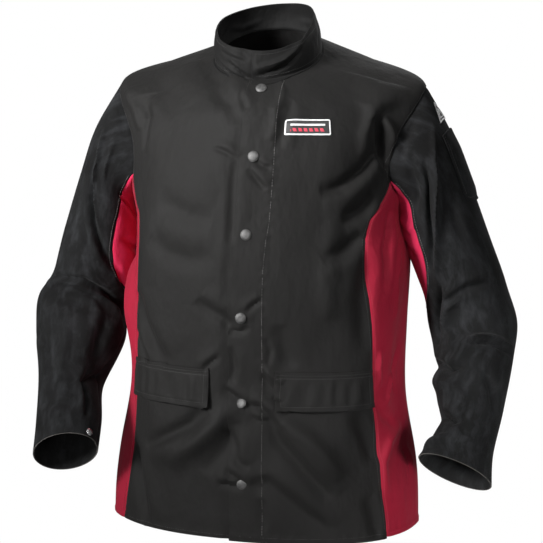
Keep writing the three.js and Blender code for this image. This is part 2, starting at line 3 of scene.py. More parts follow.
import bpy
import numpy as np
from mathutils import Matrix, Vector


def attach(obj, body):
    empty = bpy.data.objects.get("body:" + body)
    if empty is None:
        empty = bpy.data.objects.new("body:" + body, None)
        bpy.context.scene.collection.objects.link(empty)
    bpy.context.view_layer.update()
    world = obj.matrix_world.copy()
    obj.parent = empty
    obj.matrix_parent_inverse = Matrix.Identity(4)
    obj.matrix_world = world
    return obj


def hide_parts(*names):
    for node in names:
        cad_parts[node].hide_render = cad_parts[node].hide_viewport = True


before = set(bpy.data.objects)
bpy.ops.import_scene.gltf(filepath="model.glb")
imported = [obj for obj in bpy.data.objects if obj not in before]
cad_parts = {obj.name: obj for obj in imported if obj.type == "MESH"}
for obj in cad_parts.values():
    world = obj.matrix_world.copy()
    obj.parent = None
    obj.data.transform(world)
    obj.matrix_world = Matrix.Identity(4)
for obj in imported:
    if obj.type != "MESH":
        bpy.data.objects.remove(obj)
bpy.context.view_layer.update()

# Sizes in millimetres and degrees, as in the part's source.
BODY_LENGTH, BODY_HALF_WIDTH, BODY_HALF_DEPTH = 740, 221, 150
SHOULDER_HALF_WIDTH, SHOULDER_DROP, ARMHOLE_DEPTH, CHEST_FALL = 238, 75, 153, 55
NECK_HALF_WIDTH, NECK_HALF_DEPTH, NECK_LEVEL = 80, 78, -28
NECK_FRONT_FALL, NECK_BACK_RISE = 34, 36
COLLAR_HEIGHT, COLLAR_OVER, COLLAR_UNDER = 44, 16, 24
UPPER_ARM, FOREARM = 280, {1: 256, -1: 284}
BICEPS_RADIUS, ELBOW_RADIUS, CUFF_RADIUS = 66, 62, 51
ARM_SPREAD, ARM_BACK = 18, 6
FOREARM_SWING, FOREARM_SPREAD = {1: 36, -1: 43}, {1: 0, -1: -6}
CLOTH_WALL, COLLAR_WALL, LEATHER_WALL, FLAP_WALL = 1.5, 2.4, 2.0, 2.6
PLACKET_INSIDE, PLACKET_OUTSIDE, OPENING_SHIFT = 31, 20, 13
FLAP_TOP, FLAP_HEIGHT, FLAP_FROM_OPENING, FLAP_FROM_SEAM, FLAP_FLARE = 484, 57, 50, 3, 6
FLAP_WIDTH = 140
POCKET_TOP, POCKET_LENGTH, POCKET_WIDTH, POCKET_MIDDLE = 71, 112, 86, -6
HEM = 8.0
SNAP_RADIUS, SNAP_HEIGHT, SNAP_CORNERS = 8.0, 3.6, 40
CUFF_SNAP_RADIUS, CUFF_SNAP_HEIGHT, CUFF_SNAP_AROUND, CUFF_SNAP_FROM_EDGE = 5.5, 3.2, 150.0, 13
CHEST_BADGE_FROM_OPENING, CHEST_BADGE_TOP, CHEST_BADGE_WIDTH, CHEST_BADGE_HEIGHT = 44, 117, 70, 22
ARM_BADGE_MIDDLE, ARM_BADGE_TOP, ARM_BADGE_HEIGHT, ARM_BADGE_TIP, ARM_BADGE_FOOT = 9, 24, 30, 1.5, 16
BADGE_WALL, BADGE_BORDER, BADGE_CORNER = 1.0, 2.2, 3.0
# Columns of the panels' grids.
FRONT_COLUMNS, BACK_COLUMNS, SIDE_COLUMNS = 116, 200, 56
RAD = np.pi / 180
# The wearer's own sides: a side of 1 is the wearer's left, which has the larger x.
NAMES = {1: "left", -1: "right"}


def lerp(a, b, t):
    return a + (b - a) * t


def arrays(a, b):
    return np.broadcast_arrays(np.asarray(a, float), np.asarray(b, float))


def hill(x, width):
    """1 at x = 0, falling away smoothly over the width."""
    return np.exp(-((x / width) ** 2))


def smooth(t, low, high):
    t = np.clip((t - low) / (high - low), 0, 1)
    return t * t * (3 - 2 * t)


def spline(a, b, c, d, t):
    """A smooth value a share t of the way from b to c, with a before them and d after."""
    bend = (2 * a - 5 * b + 4 * c - d) * t + (3 * b - a - 3 * c + d) * t * t
    return b + 0.5 * t * (c - a + bend)


def between(rows, at):
    """A smooth value between the rows of a table, where at counts rows from 0."""
    rows, at = np.asarray(rows, float), np.asarray(at, float)
    i = np.clip(np.floor(at).astype(int), 0, len(rows) - 2)
    near = (rows[np.clip(i + k, 0, len(rows) - 1)] for k in (-1, 0, 1, 2))
    return spline(*near, (at - i).reshape(at.shape + (1,) * (rows.ndim - 1)))


# Body sections from the hem to the armpit: rise, width, ahead, behind, fall, seam.
BODY_ROWS = [
    (0.0, 1.05, 1.0, 0.92, 0.0, 59.5),
    (0.2, 1.0, 1.0, 0.88, 0.0, 58.0),
    (0.4, 0.96, 1.0, 0.85, 0.0, 57.0),
    (0.6, 0.975, 1.01, 0.88, 0.0, 55.5),
    (0.78, 0.995, 1.02, 0.93, 0.1, 51.0),
    (0.91, 0.98, 1.0, 0.96, 0.35, 51.5),
    (1.0, 0.95, 0.97, 0.97, 0.6, 56.0),
]
# Sections from the shoulder tip to the neck: inward, up, ahead, behind, fall, box.
YOKE_ROWS = [
    (0.0, 0.0, 0.0, 0.0, 0.0, -0.1),
    (0.36, 0.47, 0.27, 0.1, 0.35, -0.08),
    (0.72, 0.79, 0.62, 0.5, 0.7, -0.04),
    (1.0, 1.0, 1.0, 1.0, 1.0, 0.0),
]
ARMPIT_LEVEL = -SHOULDER_DROP - ARMHOLE_DEPTH
TIP_AHEAD, TIP_BEHIND, TIP_MIDDLE = 0.92 * BODY_HALF_DEPTH, 0.67 * BODY_HALF_DEPTH, 18
ARMPIT_ROW = len(BODY_ROWS) - 1
TIP_ROW, NECK_ROW = ARMPIT_ROW + 2, ARMPIT_ROW + 1 + len(YOKE_ROWS)

# level, width, ahead, behind, middle, fall, rise, box
SECTIONS = np.array(
    [
        (
            lerp(-BODY_LENGTH, ARMPIT_LEVEL, rise),
            width * BODY_HALF_WIDTH,
            ahead * BODY_HALF_DEPTH,
            behind * BODY_HALF_DEPTH,
            0,
            fall * CHEST_FALL,
            fall * CHEST_FALL * 0.5,
            0.035,
        )
        for rise, width, ahead, behind, fall, _ in BODY_ROWS
    ]
    + [
        (
            ARMPIT_LEVEL + 0.52 * ARMHOLE_DEPTH,
            0.925 * SHOULDER_HALF_WIDTH,
            0.95 * BODY_HALF_DEPTH,
            0.86 * BODY_HALF_DEPTH,
            0.4 * TIP_MIDDLE,
            0.8 * CHEST_FALL,
            0.4 * CHEST_FALL,
            0,
        )
    ]
    + [
        (
            lerp(-SHOULDER_DROP, NECK_LEVEL, up),
            lerp(SHOULDER_HALF_WIDTH, NECK_HALF_WIDTH, inward),
            lerp(TIP_AHEAD, NECK_HALF_DEPTH, ahead),
            lerp(TIP_BEHIND, NECK_HALF_DEPTH, behind),
            lerp(TIP_MIDDLE, 4, ahead),
            lerp(CHEST_FALL, NECK_FRONT_FALL, fall),
            lerp(0.6 * CHEST_FALL, NECK_BACK_RISE, fall),
            box,
        )
        for inward, up, ahead, behind, fall, box in YOKE_ROWS
    ]
)


def body_shape(turn, row):
    """The body's smooth outside: turn in degrees from the front, row counting the sections."""
    turn, row = arrays(turn, row)
    level, width, ahead, behind, middle, fall, rise, box = np.moveaxis(between(SECTIONS, row), -1, 0)
    sin, cos = np.sin(turn * RAD), np.cos(turn * RAD)
    swell = 1 + box * np.sin(2 * turn * RAD) ** 2
    front = cos > 0
    depth = np.where(front, ahead, behind)
    return np.stack(
        [
            width * sin * swell,
            middle - depth * cos * swell,
            level - np.where(front, fall, rise) * cos,
        ],
        -1,
    )


def unit(v):
    return v / np.maximum(np.linalg.norm(v, axis=-1, keepdims=True), 1e-9)


def normal_of(shape, u, v, step_u, step_v):
    """A surface's outward normal, from small steps along it."""
    at = shape(u, v)
    along_u = (shape(u + step_u, v) - at) * np.sign(step_u)
    along_v = (shape(u, v + step_v) - at) * np.sign(step_v)[..., None]
    return unit(np.cross(along_u, along_v))


def turned(degrees):
    return (degrees + 540) % 360 - 180


def bump(turn, middle, width):
    return hill(turned(turn - middle), width)


# Soft folds of the body, as in the part: turn, level, lean, length, width, height.
BODY_FOLDS = [
    (36, 0.19, 12, 0.36, 0.16, 0.03),
    (58, 0.22, 14, 0.4, 0.17, -0.04),
    (-58, 0.22, -14, 0.4, 0.17, -0.03),
    (40, 0.39, 40, 0.5, 0.2, -0.03),
    (24, 0.62, 52, 0.5, 0.16, -0.02),
    (-34, 0.8, -38, 0.55, 0.18, 0.035),
    (-18, 0.88, -30, 0.5, 0.16, -0.025),
    (30, 0.82, 35, 0.6, 0.17, 0.03),
    (82, 0.64, 8, 0.9, 0.16, -0.04),
    (-72, 0.97, 0, 0.5, 0.2, 0.045),
    (98, 0.88, -6, 0.6, 0.16, 0.045),
    (-84, 0.56, 0, 0.6, 0.16, -0.04),
    (-80, 0.86, 6, 0.6, 0.16, 0.045),
    (140, 0.5, 25, 0.9, 0.2, 0.035),
    (-145, 0.55, -25, 0.9, 0.2, 0.035),
    (180, 0.78, 4, 1.0, 0.24, -0.035),
]
ROUND_RADIUS = 1.2 * BODY_HALF_DEPTH


def soft_folds(folds, across, up, size):
    """Heights of soft folds: across and up are arrays for one fold's middle."""
    total = 0
    for place, lean, length, width, height in folds:
        x, y = across(place), up(place)
        c, s = np.cos(lean * RAD), np.sin(lean * RAD)
        along, off = (y * c + x * s) / (length * size), (x * c - y * s) / (width * size)
        total = total + height * size * np.exp(-2 * along**2 - off**2)
    return total


def crease_heights(creases, x, y, around=None):
    """Heights of creases: each is height, width, lift and a line of (x, y) points. A crease
    fades towards both ends, and lift raises a broader fold on its left-hand side."""
    total = np.zeros_like(x)
    for height, width, lift, line in creases:
        points = np.array(line, float)
        legs = np.diff(points, axis=0)
        lengths = np.hypot(*legs.T)
        starts, whole = np.concatenate([[0], np.cumsum(lengths)]), lengths.sum()
        best = np.full(x.shape, 1e9)
        side, share = np.zeros_like(x), np.zeros_like(x)
        for k, (leg, length) in enumerate(zip(legs, lengths)):
            dx, dy = x - points[k, 0], y - points[k, 1]
            if around:
                dx = (dx + 1.5 * around) % around - 0.5 * around
            t = np.clip((dx * leg[0] + dy * leg[1]) / length**2, 0, 1)
            ex, ey = dx - t * leg[0], dy - t * leg[1]
            far = np.hypot(ex, ey)
            near = far < best
            best = np.where(near, far, best)
            side = np.where(near, np.sign(leg[0] * ey - leg[1] * ex) * far, side)
            share = np.where(near, (starts[k] + t * length) / whole, share)
        fade = np.clip(4 * share * (1 - share), 0, 1) ** 0.6
        wide = 1.8 * width
        shape = hill(side, width) - lift * hill(side - wide, wide)
        total += height * fade * shape
    return total


# Creases of the body: height, width, lift and a line of (across, level) points, where across
# is measured round the body from its front. The first thirteen are the back's.
BODY_CREASES = [
    (-5.0, 9, 0.5, [(436, -205), (462, -262), (500, -318)]),
    (-5.0, 9, 0.5, [(694, -200), (668, -258), (634, -322)]),
    (-4.0, 12, 0.4, [(428, -300), (470, -352), (528, -380)]),
    (-4.5, 11, 0.4, [(706, -310), (660, -368), (598, -402)]),
    (4.0, 14, 0, [(512, -110), (506, -190), (520, -280)]),
    (3.5, 14, 0, [(622, -118), (630, -200), (616, -276)]),
    (-3.6, 8, 0.5, [(500, -452), (548, -470), (606, -455)]),
    (-3.0, 7, 0.5, [(520, -506), (566, -518), (628, -500)]),
    (5.0, 16, 0, [(470, -500), (462, -600), (456, -715)]),
    (5.0, 17, 0, [(664, -520), (676, -620), (684, -720)]),
    (-4.0, 14, 0.3, [(560, -540), (566, -630), (562, -720)]),
    (-3.0, 6, 0.5, [(560, -62), (540, -96), (498, -118)]),
    (-3.0, 6, 0.5, [(590, -60), (618, -92), (662, -112)]),
    (-8.8, 9, 0.5, [(-256, -35), (-101, -67), (-30, -96), (-6, -124)]),
    (-6.2, 8, 0.4, [(-192, -84), (-159, -121), (-168, -172)]),
    (-5.0, 9, 0.5, [(-275, -52), (-167, -84), (-105, -117)]),
    (5.0, 9, 0, [(-234, -78), (-193, -112), (-182, -141)]),
    (-3.0, 4, 0.7, [(-38, -158), (-24, -164), (-8, -175)]),
    (-3.2, 3.5, 0.7, [(13, -175), (22, -183), (33, -186)]),
    (-4.2, 4, 0.6, [(5, -187), (14, -200), (28, -217)]),
    (-4.2, 6, 0.3, [(-11, -173), (-14, -219), (-14, -259), (-14, -299)]),
    (4.2, 6, 0, [(79, -65), (38, -103), (28, -148)]),
    (-3.8, 5, 0.5, [(-25, -79), (-14, -90), (-3, -104)]),
    (-3.8, 6, 0.4, [(71, -90), (42, -120), (38, -159)]),
    (11.2, 11, 0, [(240, -63), (170, -104), (154, -138), (157, -169)]),
    (-13.8, 8, 0.3, [(168, -115), (184, -150), (207, -195)]),
    (7.5, 6, 0, [(182, -115), (199, -134), (215, -155)]),
    (-11.2, 10, 0.6, [(184, -161), (156, -189), (123, -213), (96, -220)]),
    (-8.8, 10, 0.5, [(182, -226), (162, -247), (129, -257)]),
    (-8.8, 11, 0.4, [(160, -282), (130, -304), (99, -318)]),
    (-8.8, 13, 0.3, [(162, -296), (154, -378), (163, -457)]),
    (6.2, 14, 0, [(126, -237), (110, -288), (104, -346), (110, -406)]),
    (-4.4, 15, 0.3, [(-121, -236), (-77, -257), (-39, -263)]),
    (-5.0, 16, 0.3, [(-132, -294), (-99, -314), (-66, -323), (-31, -317)]),
    (-6.2, 9, 0.5, [(-58, -382), (-24, -406), (-5, -425)]),
    (-3.8, 3.5, 0.6, [(6, -396), (14, -386), (27, -374)]),
    (-3.8, 4, 0.5, [(-17, -426), (-2, -425), (11, -418)]),
    (-10.0, 12, 0.4, [(-162, -380), (-149, -426), (-126, -463), (-104, -483)]),
    (-6.2, 7, 0.5, [(-176, -442), (-159, -470), (-143, -489)]),
    (-4.5, 4, 0.6, [(-52, -487), (-41, -474), (-28, -462)]),
    (-3.8, 5, 0.5, [(-13, -449), (-9, -478), (-13, -504)]),
    (-3.2, 4, 0.5, [(31, -435), (36, -453), (33, -476)]),
    (-5.0, 4.5, 0.7, [(-25, -510), (-9, -522), (2, -531)]),
    (-5.8, 5, 0.7, [(2, -533), (19, -535), (33, -546), (46, -569)]),
    (-3.8, 4, 0.5, [(11, -550), (20, -556), (36, -558)]),
    (-4.5, 4.5, 0.5, [(25, -481), (33, -503), (47, -520)]),
    (-3.8, 4, 0.5, [(28, -512), (36, -522), (53, -529)]),
    (4.2, 5, 0, [(25, -476), (38, -489), (53, -499)]),
    (-10.0, 10, 0.6, [(-47, -543), (-69, -571), (-99, -591), (-141, -616)]),
    (10.0, 13, 0, [(-13, -531), (-31, -565), (-58, -599), (-99, -638)]),
    (-7.5, 12, 0.4, [(-5, -558), (-20, -599), (-47, -644)]),
    (-11.2, 10, 0.3, [(-173, -614), (-160, -659), (-143, -702), (-129, -737)]),
    (-5.0, 6, 0.4, [(-20, -571), (-9, -597), (-2, -623)]),
    (-5.8, 5, 0.7, [(-20, -635), (-5, -646), (5, -657)]),
    (-5.0, 5, 0.6, [(-33, -659), (-13, -657), (3, -661)]),
    (-3.8, 5, 0.5, [(-16, -606), (-5, -622), (11, -629)]),
    (-3.8, 6, 0.4, [(25, -676), (25, -698), (27, -723)]),
    (-10.0, 9, 0.7, [(33, -552), (46, -584), (64, -610), (85, -640), (107, -674)]),
    (10.0, 12, 0, [(53, -554), (79, -578), (99, -601), (123, -642)]),
    (-8.1, 9, 0.6, [(11, -657), (33, -650), (57, -674), (77, -696), (104, -724)]),
    (-8.8, 11, 0.3, [(145, -548), (163, -584), (174, -623)]),
    (-7.5, 10, 0.4, [(157, -674), (167, -708), (170, -740)]),
    (-6.2, 11, 0.3, [(46, -414), (53, -449), (63, -478)]),
    (-7.5, 7, 0.6, [(225, -249), (196, -308), (193, -373)]),
    (5.0, 6, 0, [(236, -297), (221, -355), (237, -417)]),
    (6.2, 5, 0, [(193, -457), (188, -483), (193, -514)]),
    (6.2, 5, 0, [(240, -495), (221, -520), (212, -543)]),
    (-3.1, 6, 0.5, [(276, -457), (240, -495), (258, -541)]),
    (-6.2, 8, 0.4, [(181, -531), (204, -559), (239, -576)]),
    (-5.0, 3.5, 0.6, [(256, -614), (270, -635), (278, -655)]),
    (8.8, 9, 0, [(261, -578), (210, -597), (190, -627), (193, -676)]),
]
# Creases of the sleeves, with lines of (across from the outer line, down the sleeve) points.
SLEEVE_CREASES = {
    1: [
        (-10.0, 7, 0.8, [(88, 49), (106, 92), (119, 146), (135, 192)]),
        (6.2, 5, 0, [(39, 35), (73, 63), (91, 101), (116, 164), (136, 217)]),
        (-6.2, 7, 0.4, [(54, 0), (78, 10), (111, 16)]),
        (-5.0, 8, 0.3, [(89, 27), (121, 39), (145, 77)]),
        (-4.4, 8, 0.4, [(62, 116), (68, 142), (61, 169)]),
        (-15.0, 6, 0.4, [(129, 219), (145, 258), (154, 305), (174, 348)]),
        (8.8, 7, 0, [(100, 241), (126, 271), (141, 316), (132, 363)]),
        (-10.0, 4.5, 0.7, [(107, 354), (88, 348), (65, 345), (39, 348), (7, 346)]),
        (6.2, 5, 0, [(107, 346), (82, 338), (45, 338)]),
        (-16.2, 6, 0.3, [(200, 368), (169, 382), (142, 394), (109, 388)]),
        (7.0, 15, 0, [(228, 392), (196, 402), (147, 418), (122, 429)]),
        (-6.2, 7, 0.5, [(129, 256), (90, 236), (52, 236)]),
        (-15.0, 6, 0.3, [(182, 465), (149, 472), (123, 477), (93, 469)]),
        (7.5, 7, 0, [(182, 522), (153, 513), (135, 507), (114, 502)]),
        (6.2, 7, 0, [(167, 414), (123, 422), (96, 441)]),
        (-6.2, 9, 0.4, [(73, 389), (50, 411), (37, 440)]),
        (-5.0, 6, 0.4, [(168, 525), (123, 520), (91, 522)]),
        (4.4, 6, 0, [(123, 477), (98, 498), (62, 502)]),
        (5.0, 6, 0, [(183, 78), (167, 96), (153, 115)]),
        (-6.2, 5, 0.5, [(187, 114), (174, 135), (164, 157)]),
    ],
    -1: [
        (6.2, 4, 0, [(60, 33), (88, 64), (89, 98), (97, 119), (123, 150)]),
        (4.5, 4, 0, [(84, 24), (103, 44), (116, 71)]),
        (-11.2, 7, 0.35, [(84, 87), (88, 119), (105, 146), (129, 179), (158, 216)]),
        (-7.5, 7, 0.3, [(37, 0), (70, 0), (89, 5)]),
        (-4.4, 7, 0.3, [(83, 154), (98, 175), (119, 196)]),
        (-11.2, 6, 0.6, [(35, 257), (81, 253), (114, 249), (153, 268), (190, 298), (204, 337)]),
        (5.6, 9, 0, [(83, 285), (112, 284), (138, 301), (150, 346)]),
        (-7.5, 10, 0.3, [(157, 332), (156, 381), (168, 419)]),
        (-16.2, 6, 0.1, [(210, 431), (185, 449), (170, 460), (152, 472)]),
        (-6.9, 6, 0.6, [(173, 428), (161, 480), (161, 530)]),
        (-6.2, 9, 0.4, [(37, 361), (69, 405), (84, 455)]),
        (5.0, 9, 0, [(98, 350), (107, 411), (107, 472)]),
        (-5.0, 8, 0.4, [(37, 490), (100, 507), (142, 518)]),
        (-5.0, 5, 0.5, [(153, 196), (172, 232), (191, 264)]),
        (-5.5, 3, 0.4, [(152, 68), (174, 76), (200, 97)]),
        (-6.0, 9, 0.1, [(160, 140), (180, 152), (208, 168)]),
    ],
}


def body_fold_height(turn, point):
    z = point[..., 2]
    return soft_folds(
        [((f[0], f[1]), *f[2:]) for f in BODY_FOLDS],
        lambda place: turned(turn - place[0]) * RAD * ROUND_RADIUS,
        lambda place: z + place[1] * BODY_LENGTH,
        BODY_HALF_WIDTH,
    )


def row_step(row):
    return np.where(np.asarray(row) > NECK_ROW - 0.01, -0.01, 0.01)


def body_normal(turn, row):
    turn, row = arrays(turn, row)
    return normal_of(body_shape, turn, row, 0.2, row_step(row))


def body_surface(turn, row, detail=1.0):
    """The body's outside with its folds and creases."""
    turn, row = arrays(turn, row)
    point = body_shape(turn, row)
    height = body_fold_height(turn, point)
    if detail:
        arc = 2 * np.pi * ROUND_RADIUS
        x = turn * RAD * ROUND_RADIUS
        height = height + detail * crease_heights(BODY_CREASES, x, point[..., 2], arc)
    return point + body_normal(turn, row) * height[..., None]


ARMHOLE_FRONT, ARMHOLE_BACK, ARMHOLE_LEAN = 22, 18, 0.25
GUSSET_HALF = 56


def armhole_row(around):
    return lerp(ARMPIT_ROW, TIP_ROW, (1 + np.cos(around * RAD)) / 2)


def armhole_turn(around):
    across = np.sin(around * RAD) * (1 - ARMHOLE_LEAN * np.cos(around * RAD))
    return 90 - np.where(across > 0, ARMHOLE_FRONT, ARMHOLE_BACK) * across


GUSSET_ROW = float(armhole_row(180 - GUSSET_HALF))
SEAM_TURNS = [row[5] for row in BODY_ROWS]


def side_seam(row, behind):
    row = np.asarray(row, float)
    meet = armhole_turn(180 + GUSSET_HALF if behind else 180 - GUSSET_HALF)
    own = between(SEAM_TURNS, np.minimum(row, ARMPIT_ROW))
    return lerp(180 - own if behind else own, meet, smooth(row, ARMPIT_ROW - 0.4, GUSSET_ROW))


def opening_at(row):
    return OPENING_SHIFT * smooth(np.asarray(row, float), ARMPIT_ROW - 3, ARMPIT_ROW + 1.5)


def turn_at(x, row):
    """The angle at which the body is x mm to the wearer's left of the opening."""
    width = between(SECTIONS[:, 1], row)
    return np.arcsin((x + opening_at(row)) / width) / RAD


# Sleeve rings: along, front, roll, pitch, then wide and shift of each side.
SLEEVE_RINGS = np.array(
    [
        (0.0, 1.0, 78, 0, 1.0, 0.0, 1.0, 0.0),
        (0.2, 1.0, 63, 0, 0.99, 0.15, 0.98, 0.14),
        (0.4, 1.04, 43, 0, 0.94, 0.05, 0.93, 0.04),
        (0.65, 1.05, 24, 0, 0.95, 0.01, 0.95, -0.01),
        (0.86, 1.04, 14, 6, 1.0, 0.02, 0.96, 0.0),
        (1.04, 1.04, 6, 20, 1.1, 0.02, 1.12, 0.1),
        (1.25, 1.0, 0, 36, 1.02, 0.14, 1.21, 0.0),
        (1.55, 1.0, -6, 40, 0.9, 0.22, 0.95, 0.04),
        (1.82, 1.0, -12, 42, 0.85, 0.18, 0.99, -0.06),
        (2.0, 1.0, -16, 44, 1.1, 0.04, 1.04, -0.1),
    ]
)
LAST_RING = len(SLEEVE_RINGS) - 1
SLEEVE_FOLDS = {
    1: [
        (95, 0.55, 6, 1.5, 0.4, -0.09),
        (20, 0.98, 70, 0.9, 0.4, -0.06),
        (120, 1.2, 60, 0.9, 0.4, -0.08),
        (40, 1.45, -60, 0.9, 0.4, -0.06),
    ],
    -1: [
        (75, 0.5, -4, 1.5, 0.4, -0.09),
        (0, 0.93, 90, 0.8, 0.35, -0.1),
        (80, 1.08, 70, 1.2, 0.4, -0.09),
        (165, 1.5, 70, 0.8, 0.35, -0.12),
    ],
}


def sleeve_fold_height(side, around, along):
    length = np.where(along < 1, UPPER_ARM, FOREARM[-1])
    return soft_folds(
        [((f[0], f[1]), *f[2:]) for f in SLEEVE_FOLDS[side]],
        lambda place: turned(around - place[0]) * RAD * BICEPS_RADIUS,
        lambda place: (along - place[1]) * length,
        BICEPS_RADIUS,
    )


def armhole_point(around):
    return body_surface(armhole_turn(around), armhole_row(around), 0)


ARMHOLE_MIDDLE = (armhole_point(np.array(0.0)) + armhole_point(np.array(180.0))) / 2


def direction(*v):
    return unit(np.array(v, float))


def sleeve_shape(side):
    """A sleeve's smooth outside, mirrored to the wearer's left side, as a function of the
    angle around it and the ring's number."""
    spread, back = ARM_SPREAD * RAD, ARM_BACK * RAD
    elbow = ARMHOLE_MIDDLE + direction(np.sin(spread), np.sin(back), -np.cos(spread)) * UPPER_ARM
    out, swing = FOREARM_SPREAD[side] * RAD, FOREARM_SWING[side] * RAD
    cuff = elbow + direction(np.sin(out), -np.sin(swing), -np.cos(swing)) * FOREARM[side]
    swing_share = FOREARM_SWING[side] / FOREARM_SWING[-1]

    def shape(around, at):
        around, at = arrays(around, at)
        rings = []
        for along, front, roll, pitch, *shares in SLEEVE_RINGS:
            wide, shift = shares[:2] if side > 0 else shares[2:]
            if along == 0:
                rings.append(armhole_point(around))
                continue
            if along <= 1:
                radius = lerp(BICEPS_RADIUS, ELBOW_RADIUS, along)
                middle = lerp(ARMHOLE_MIDDLE, elbow, along)
            else:
                radius = lerp(ELBOW_RADIUS, CUFF_RADIUS, along - 1)
                middle = lerp(elbow, cuff, along - 1)
            roll, pitch = roll * RAD, pitch * swing_share * RAD
            outward = np.array([np.cos(roll), 0, np.sin(roll)])
            forward = np.array([0, -np.cos(pitch), np.sin(pitch)])
            across = (shift + wide * np.cos(around * RAD)) * radius
            ahead = radius * front * np.sin(around * RAD)
            rings.append(middle + outward * across[..., None] + forward * ahead[..., None])
        rings = np.stack(rings)
        i = np.clip(np.floor(at).astype(int), 0, LAST_RING - 1)
        near = (
            np.take_along_axis(rings, np.clip(i + k, 0, LAST_RING)[None, ..., None], 0)[0]
            for k in (-1, 0, 1, 2)
        )
        return spline(*near, (at - i)[..., None])

    return shape


SHAPES = {side: sleeve_shape(side) for side in (1, -1)}


def sleeve_down(side, at):
    """How far down the sleeve a ring's number is, in millimetres."""
    along = between(SLEEVE_RINGS[:, 0], at)
    return np.where(along < 1, along * UPPER_ARM, UPPER_ARM + (along - 1) * FOREARM[side])


# Where each sleeve's inner side bulges or sinks: place along the arm, length, middle around
# the arm, width around it and how far the leather moves outward and back.
BULGES = {
    1: [
        (0.3, 0.26, 180, 42, -16, -3),
        (0.22, 0.2, 122, 24, 7, 0),
        (1.37, 0.05, 165, 45, 5, 0),
        (0.12, 0.1, 180, 40, -7, 0),
        (1.72, 0.08, 160, 45, 9, 0),
    ],
    -1: [(0.8, 0.32, 160, 52, -10, -2), (1.6, 0.12, 140, 50, 9, 0)],
}


def sleeve_surface(side, around, at, detail=1.0):
    """A sleeve's outside with its folds and creases, on its own side."""
    around, at = arrays(around, at)
    shape = SHAPES[side]
    point = shape(around, at)
    normal = normal_of(shape, around, at, 1.0, np.where(at > LAST_RING - 0.02, -0.02, 0.02))
    along = between(SLEEVE_RINGS[:, 0], at)
    height = smooth(along, 0, 0.25) * sleeve_fold_height(side, around, along)
    if detail:
        x = turned(around) * RAD * BICEPS_RADIUS
        arc = 2 * np.pi * BICEPS_RADIUS
        fine = crease_heights(SLEEVE_CREASES[side], x, sleeve_down(side, at), arc)
        height = height + detail * smooth(along, 0, 0.08) * fine
    for place, length, middle, width, out, back in BULGES[side]:
        near = hill(along - place, length) * bump(around, middle, width)
        point = point + (near * smooth(along, 0, 0.1))[..., None] * np.array([out, back, 0])
    return (point + normal * height[..., None]) * np.array([side, 1, 1])


GUSSET_WIDTHS = [GUSSET_HALF, 36, 36, 43, 45, 31, 2.5]
SLEEVE_STEPS, GUSSET_STEPS, GUSSET_SWING = 22, 11, -10
GUSSET_END = LAST_RING * GUSSET_STEPS / SLEEVE_STEPS


def gusset_middle(at):
    return 180 + GUSSET_SWING * np.sin(np.pi * np.minimum(at / GUSSET_END, 1))


def gusset_half(at):
    share = np.minimum(at / GUSSET_END, 1)
    half = between(GUSSET_WIDTHS, share * (len(GUSSET_WIDTHS) - 1))
    return np.where(at > GUSSET_END, 0, half)


COLLAR_RIM = {"width": 0.97, "ahead": 1.02, "behind": 0.93, "back": 0.82}
# Rises of the collar's uneven rim: height, middle turn and width. It also leans in on one side.
RIM_RISES = [(8, 128, 38), (5, -92, 34), (-3, 20, 26)]
RIM_LEAN = (9, 92, 40)
COLLAR_SWELL = 3


def collar_shape(turn, share):
    turn, share = arrays(turn, share)
    base = body_surface(turn, np.full(turn.shape, float(NECK_ROW)), 0)
    sin, cos = np.sin(turn * RAD), np.cos(turn * RAD)
    depth = np.where(cos > 0, COLLAR_RIM["ahead"], COLLAR_RIM["behind"])
    height = COLLAR_HEIGHT * lerp(COLLAR_RIM["back"], 1, (1 + cos) / 2)
    for rise, middle, width in RIM_RISES:
        height = height + rise * bump(turn, middle, width)
    across = NECK_HALF_WIDTH * COLLAR_RIM["width"] * sin - RIM_LEAN[0] * bump(turn, *RIM_LEAN[1:])
    rim = np.stack([across, -NECK_HALF_DEPTH * depth * cos, base[..., 2] + height], -1)
    swell = np.stack([sin, -cos, 0 * sin], -1) * (COLLAR_SWELL * np.sin(np.pi * share))[..., None]
    return lerp(base, rim, share[..., None]) + swell


# Mesh building. Everything above is in millimetres; a mesh is scaled to metres here.
def lengths_along(points, axis):
    steps = np.linalg.norm(np.diff(points, axis=axis), axis=-1)
    return np.insert(np.cumsum(steps, axis=axis), 0, 0, axis=axis)


def grid_normals(points, sign=1):
    cross = np.cross(np.gradient(points, axis=1), np.gradient(points, axis=0))
    return unit(cross) * sign


def add_mesh(name, vertices, faces, materials, indices=None, uv=None, sharp=40):
    mesh = bpy.data.meshes.new(name)
    mesh.from_pydata((np.asarray(vertices) * 0.001).tolist(), [], np.asarray(faces).tolist())
    for material in materials:
        mesh.materials.append(material)
    if indices is not None:
        mesh.polygons.foreach_set("material_index", np.asarray(indices, dtype=np.int32))
    if uv is not None:
        corners = np.zeros(len(mesh.loops), dtype=np.int32)
        mesh.loops.foreach_get("vertex_index", corners)
        mesh.uv_layers.new(name="cloth").data.foreach_set("uv", (uv[corners] * 0.001).ravel())
    mesh.polygons.foreach_set("use_smooth", np.ones(len(mesh.polygons), dtype=bool))
    mesh.set_sharp_from_angle(angle=sharp * RAD)
    mesh.validate()
    obj = bpy.data.objects.new(name, mesh)
    frame_collection.objects.link(obj)
    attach(obj, "root")
    return obj


def grid_faces(rows, columns, flip, start=0):
    j, i = np.meshgrid(np.arange(rows - 1), np.arange(columns - 1), indexing="ij")
    a = (j * columns + i).ravel() + start
    quads = np.stack([a, a + 1, a + columns + 1, a + columns], -1)
    return quads[:, ::-1] if flip else quads


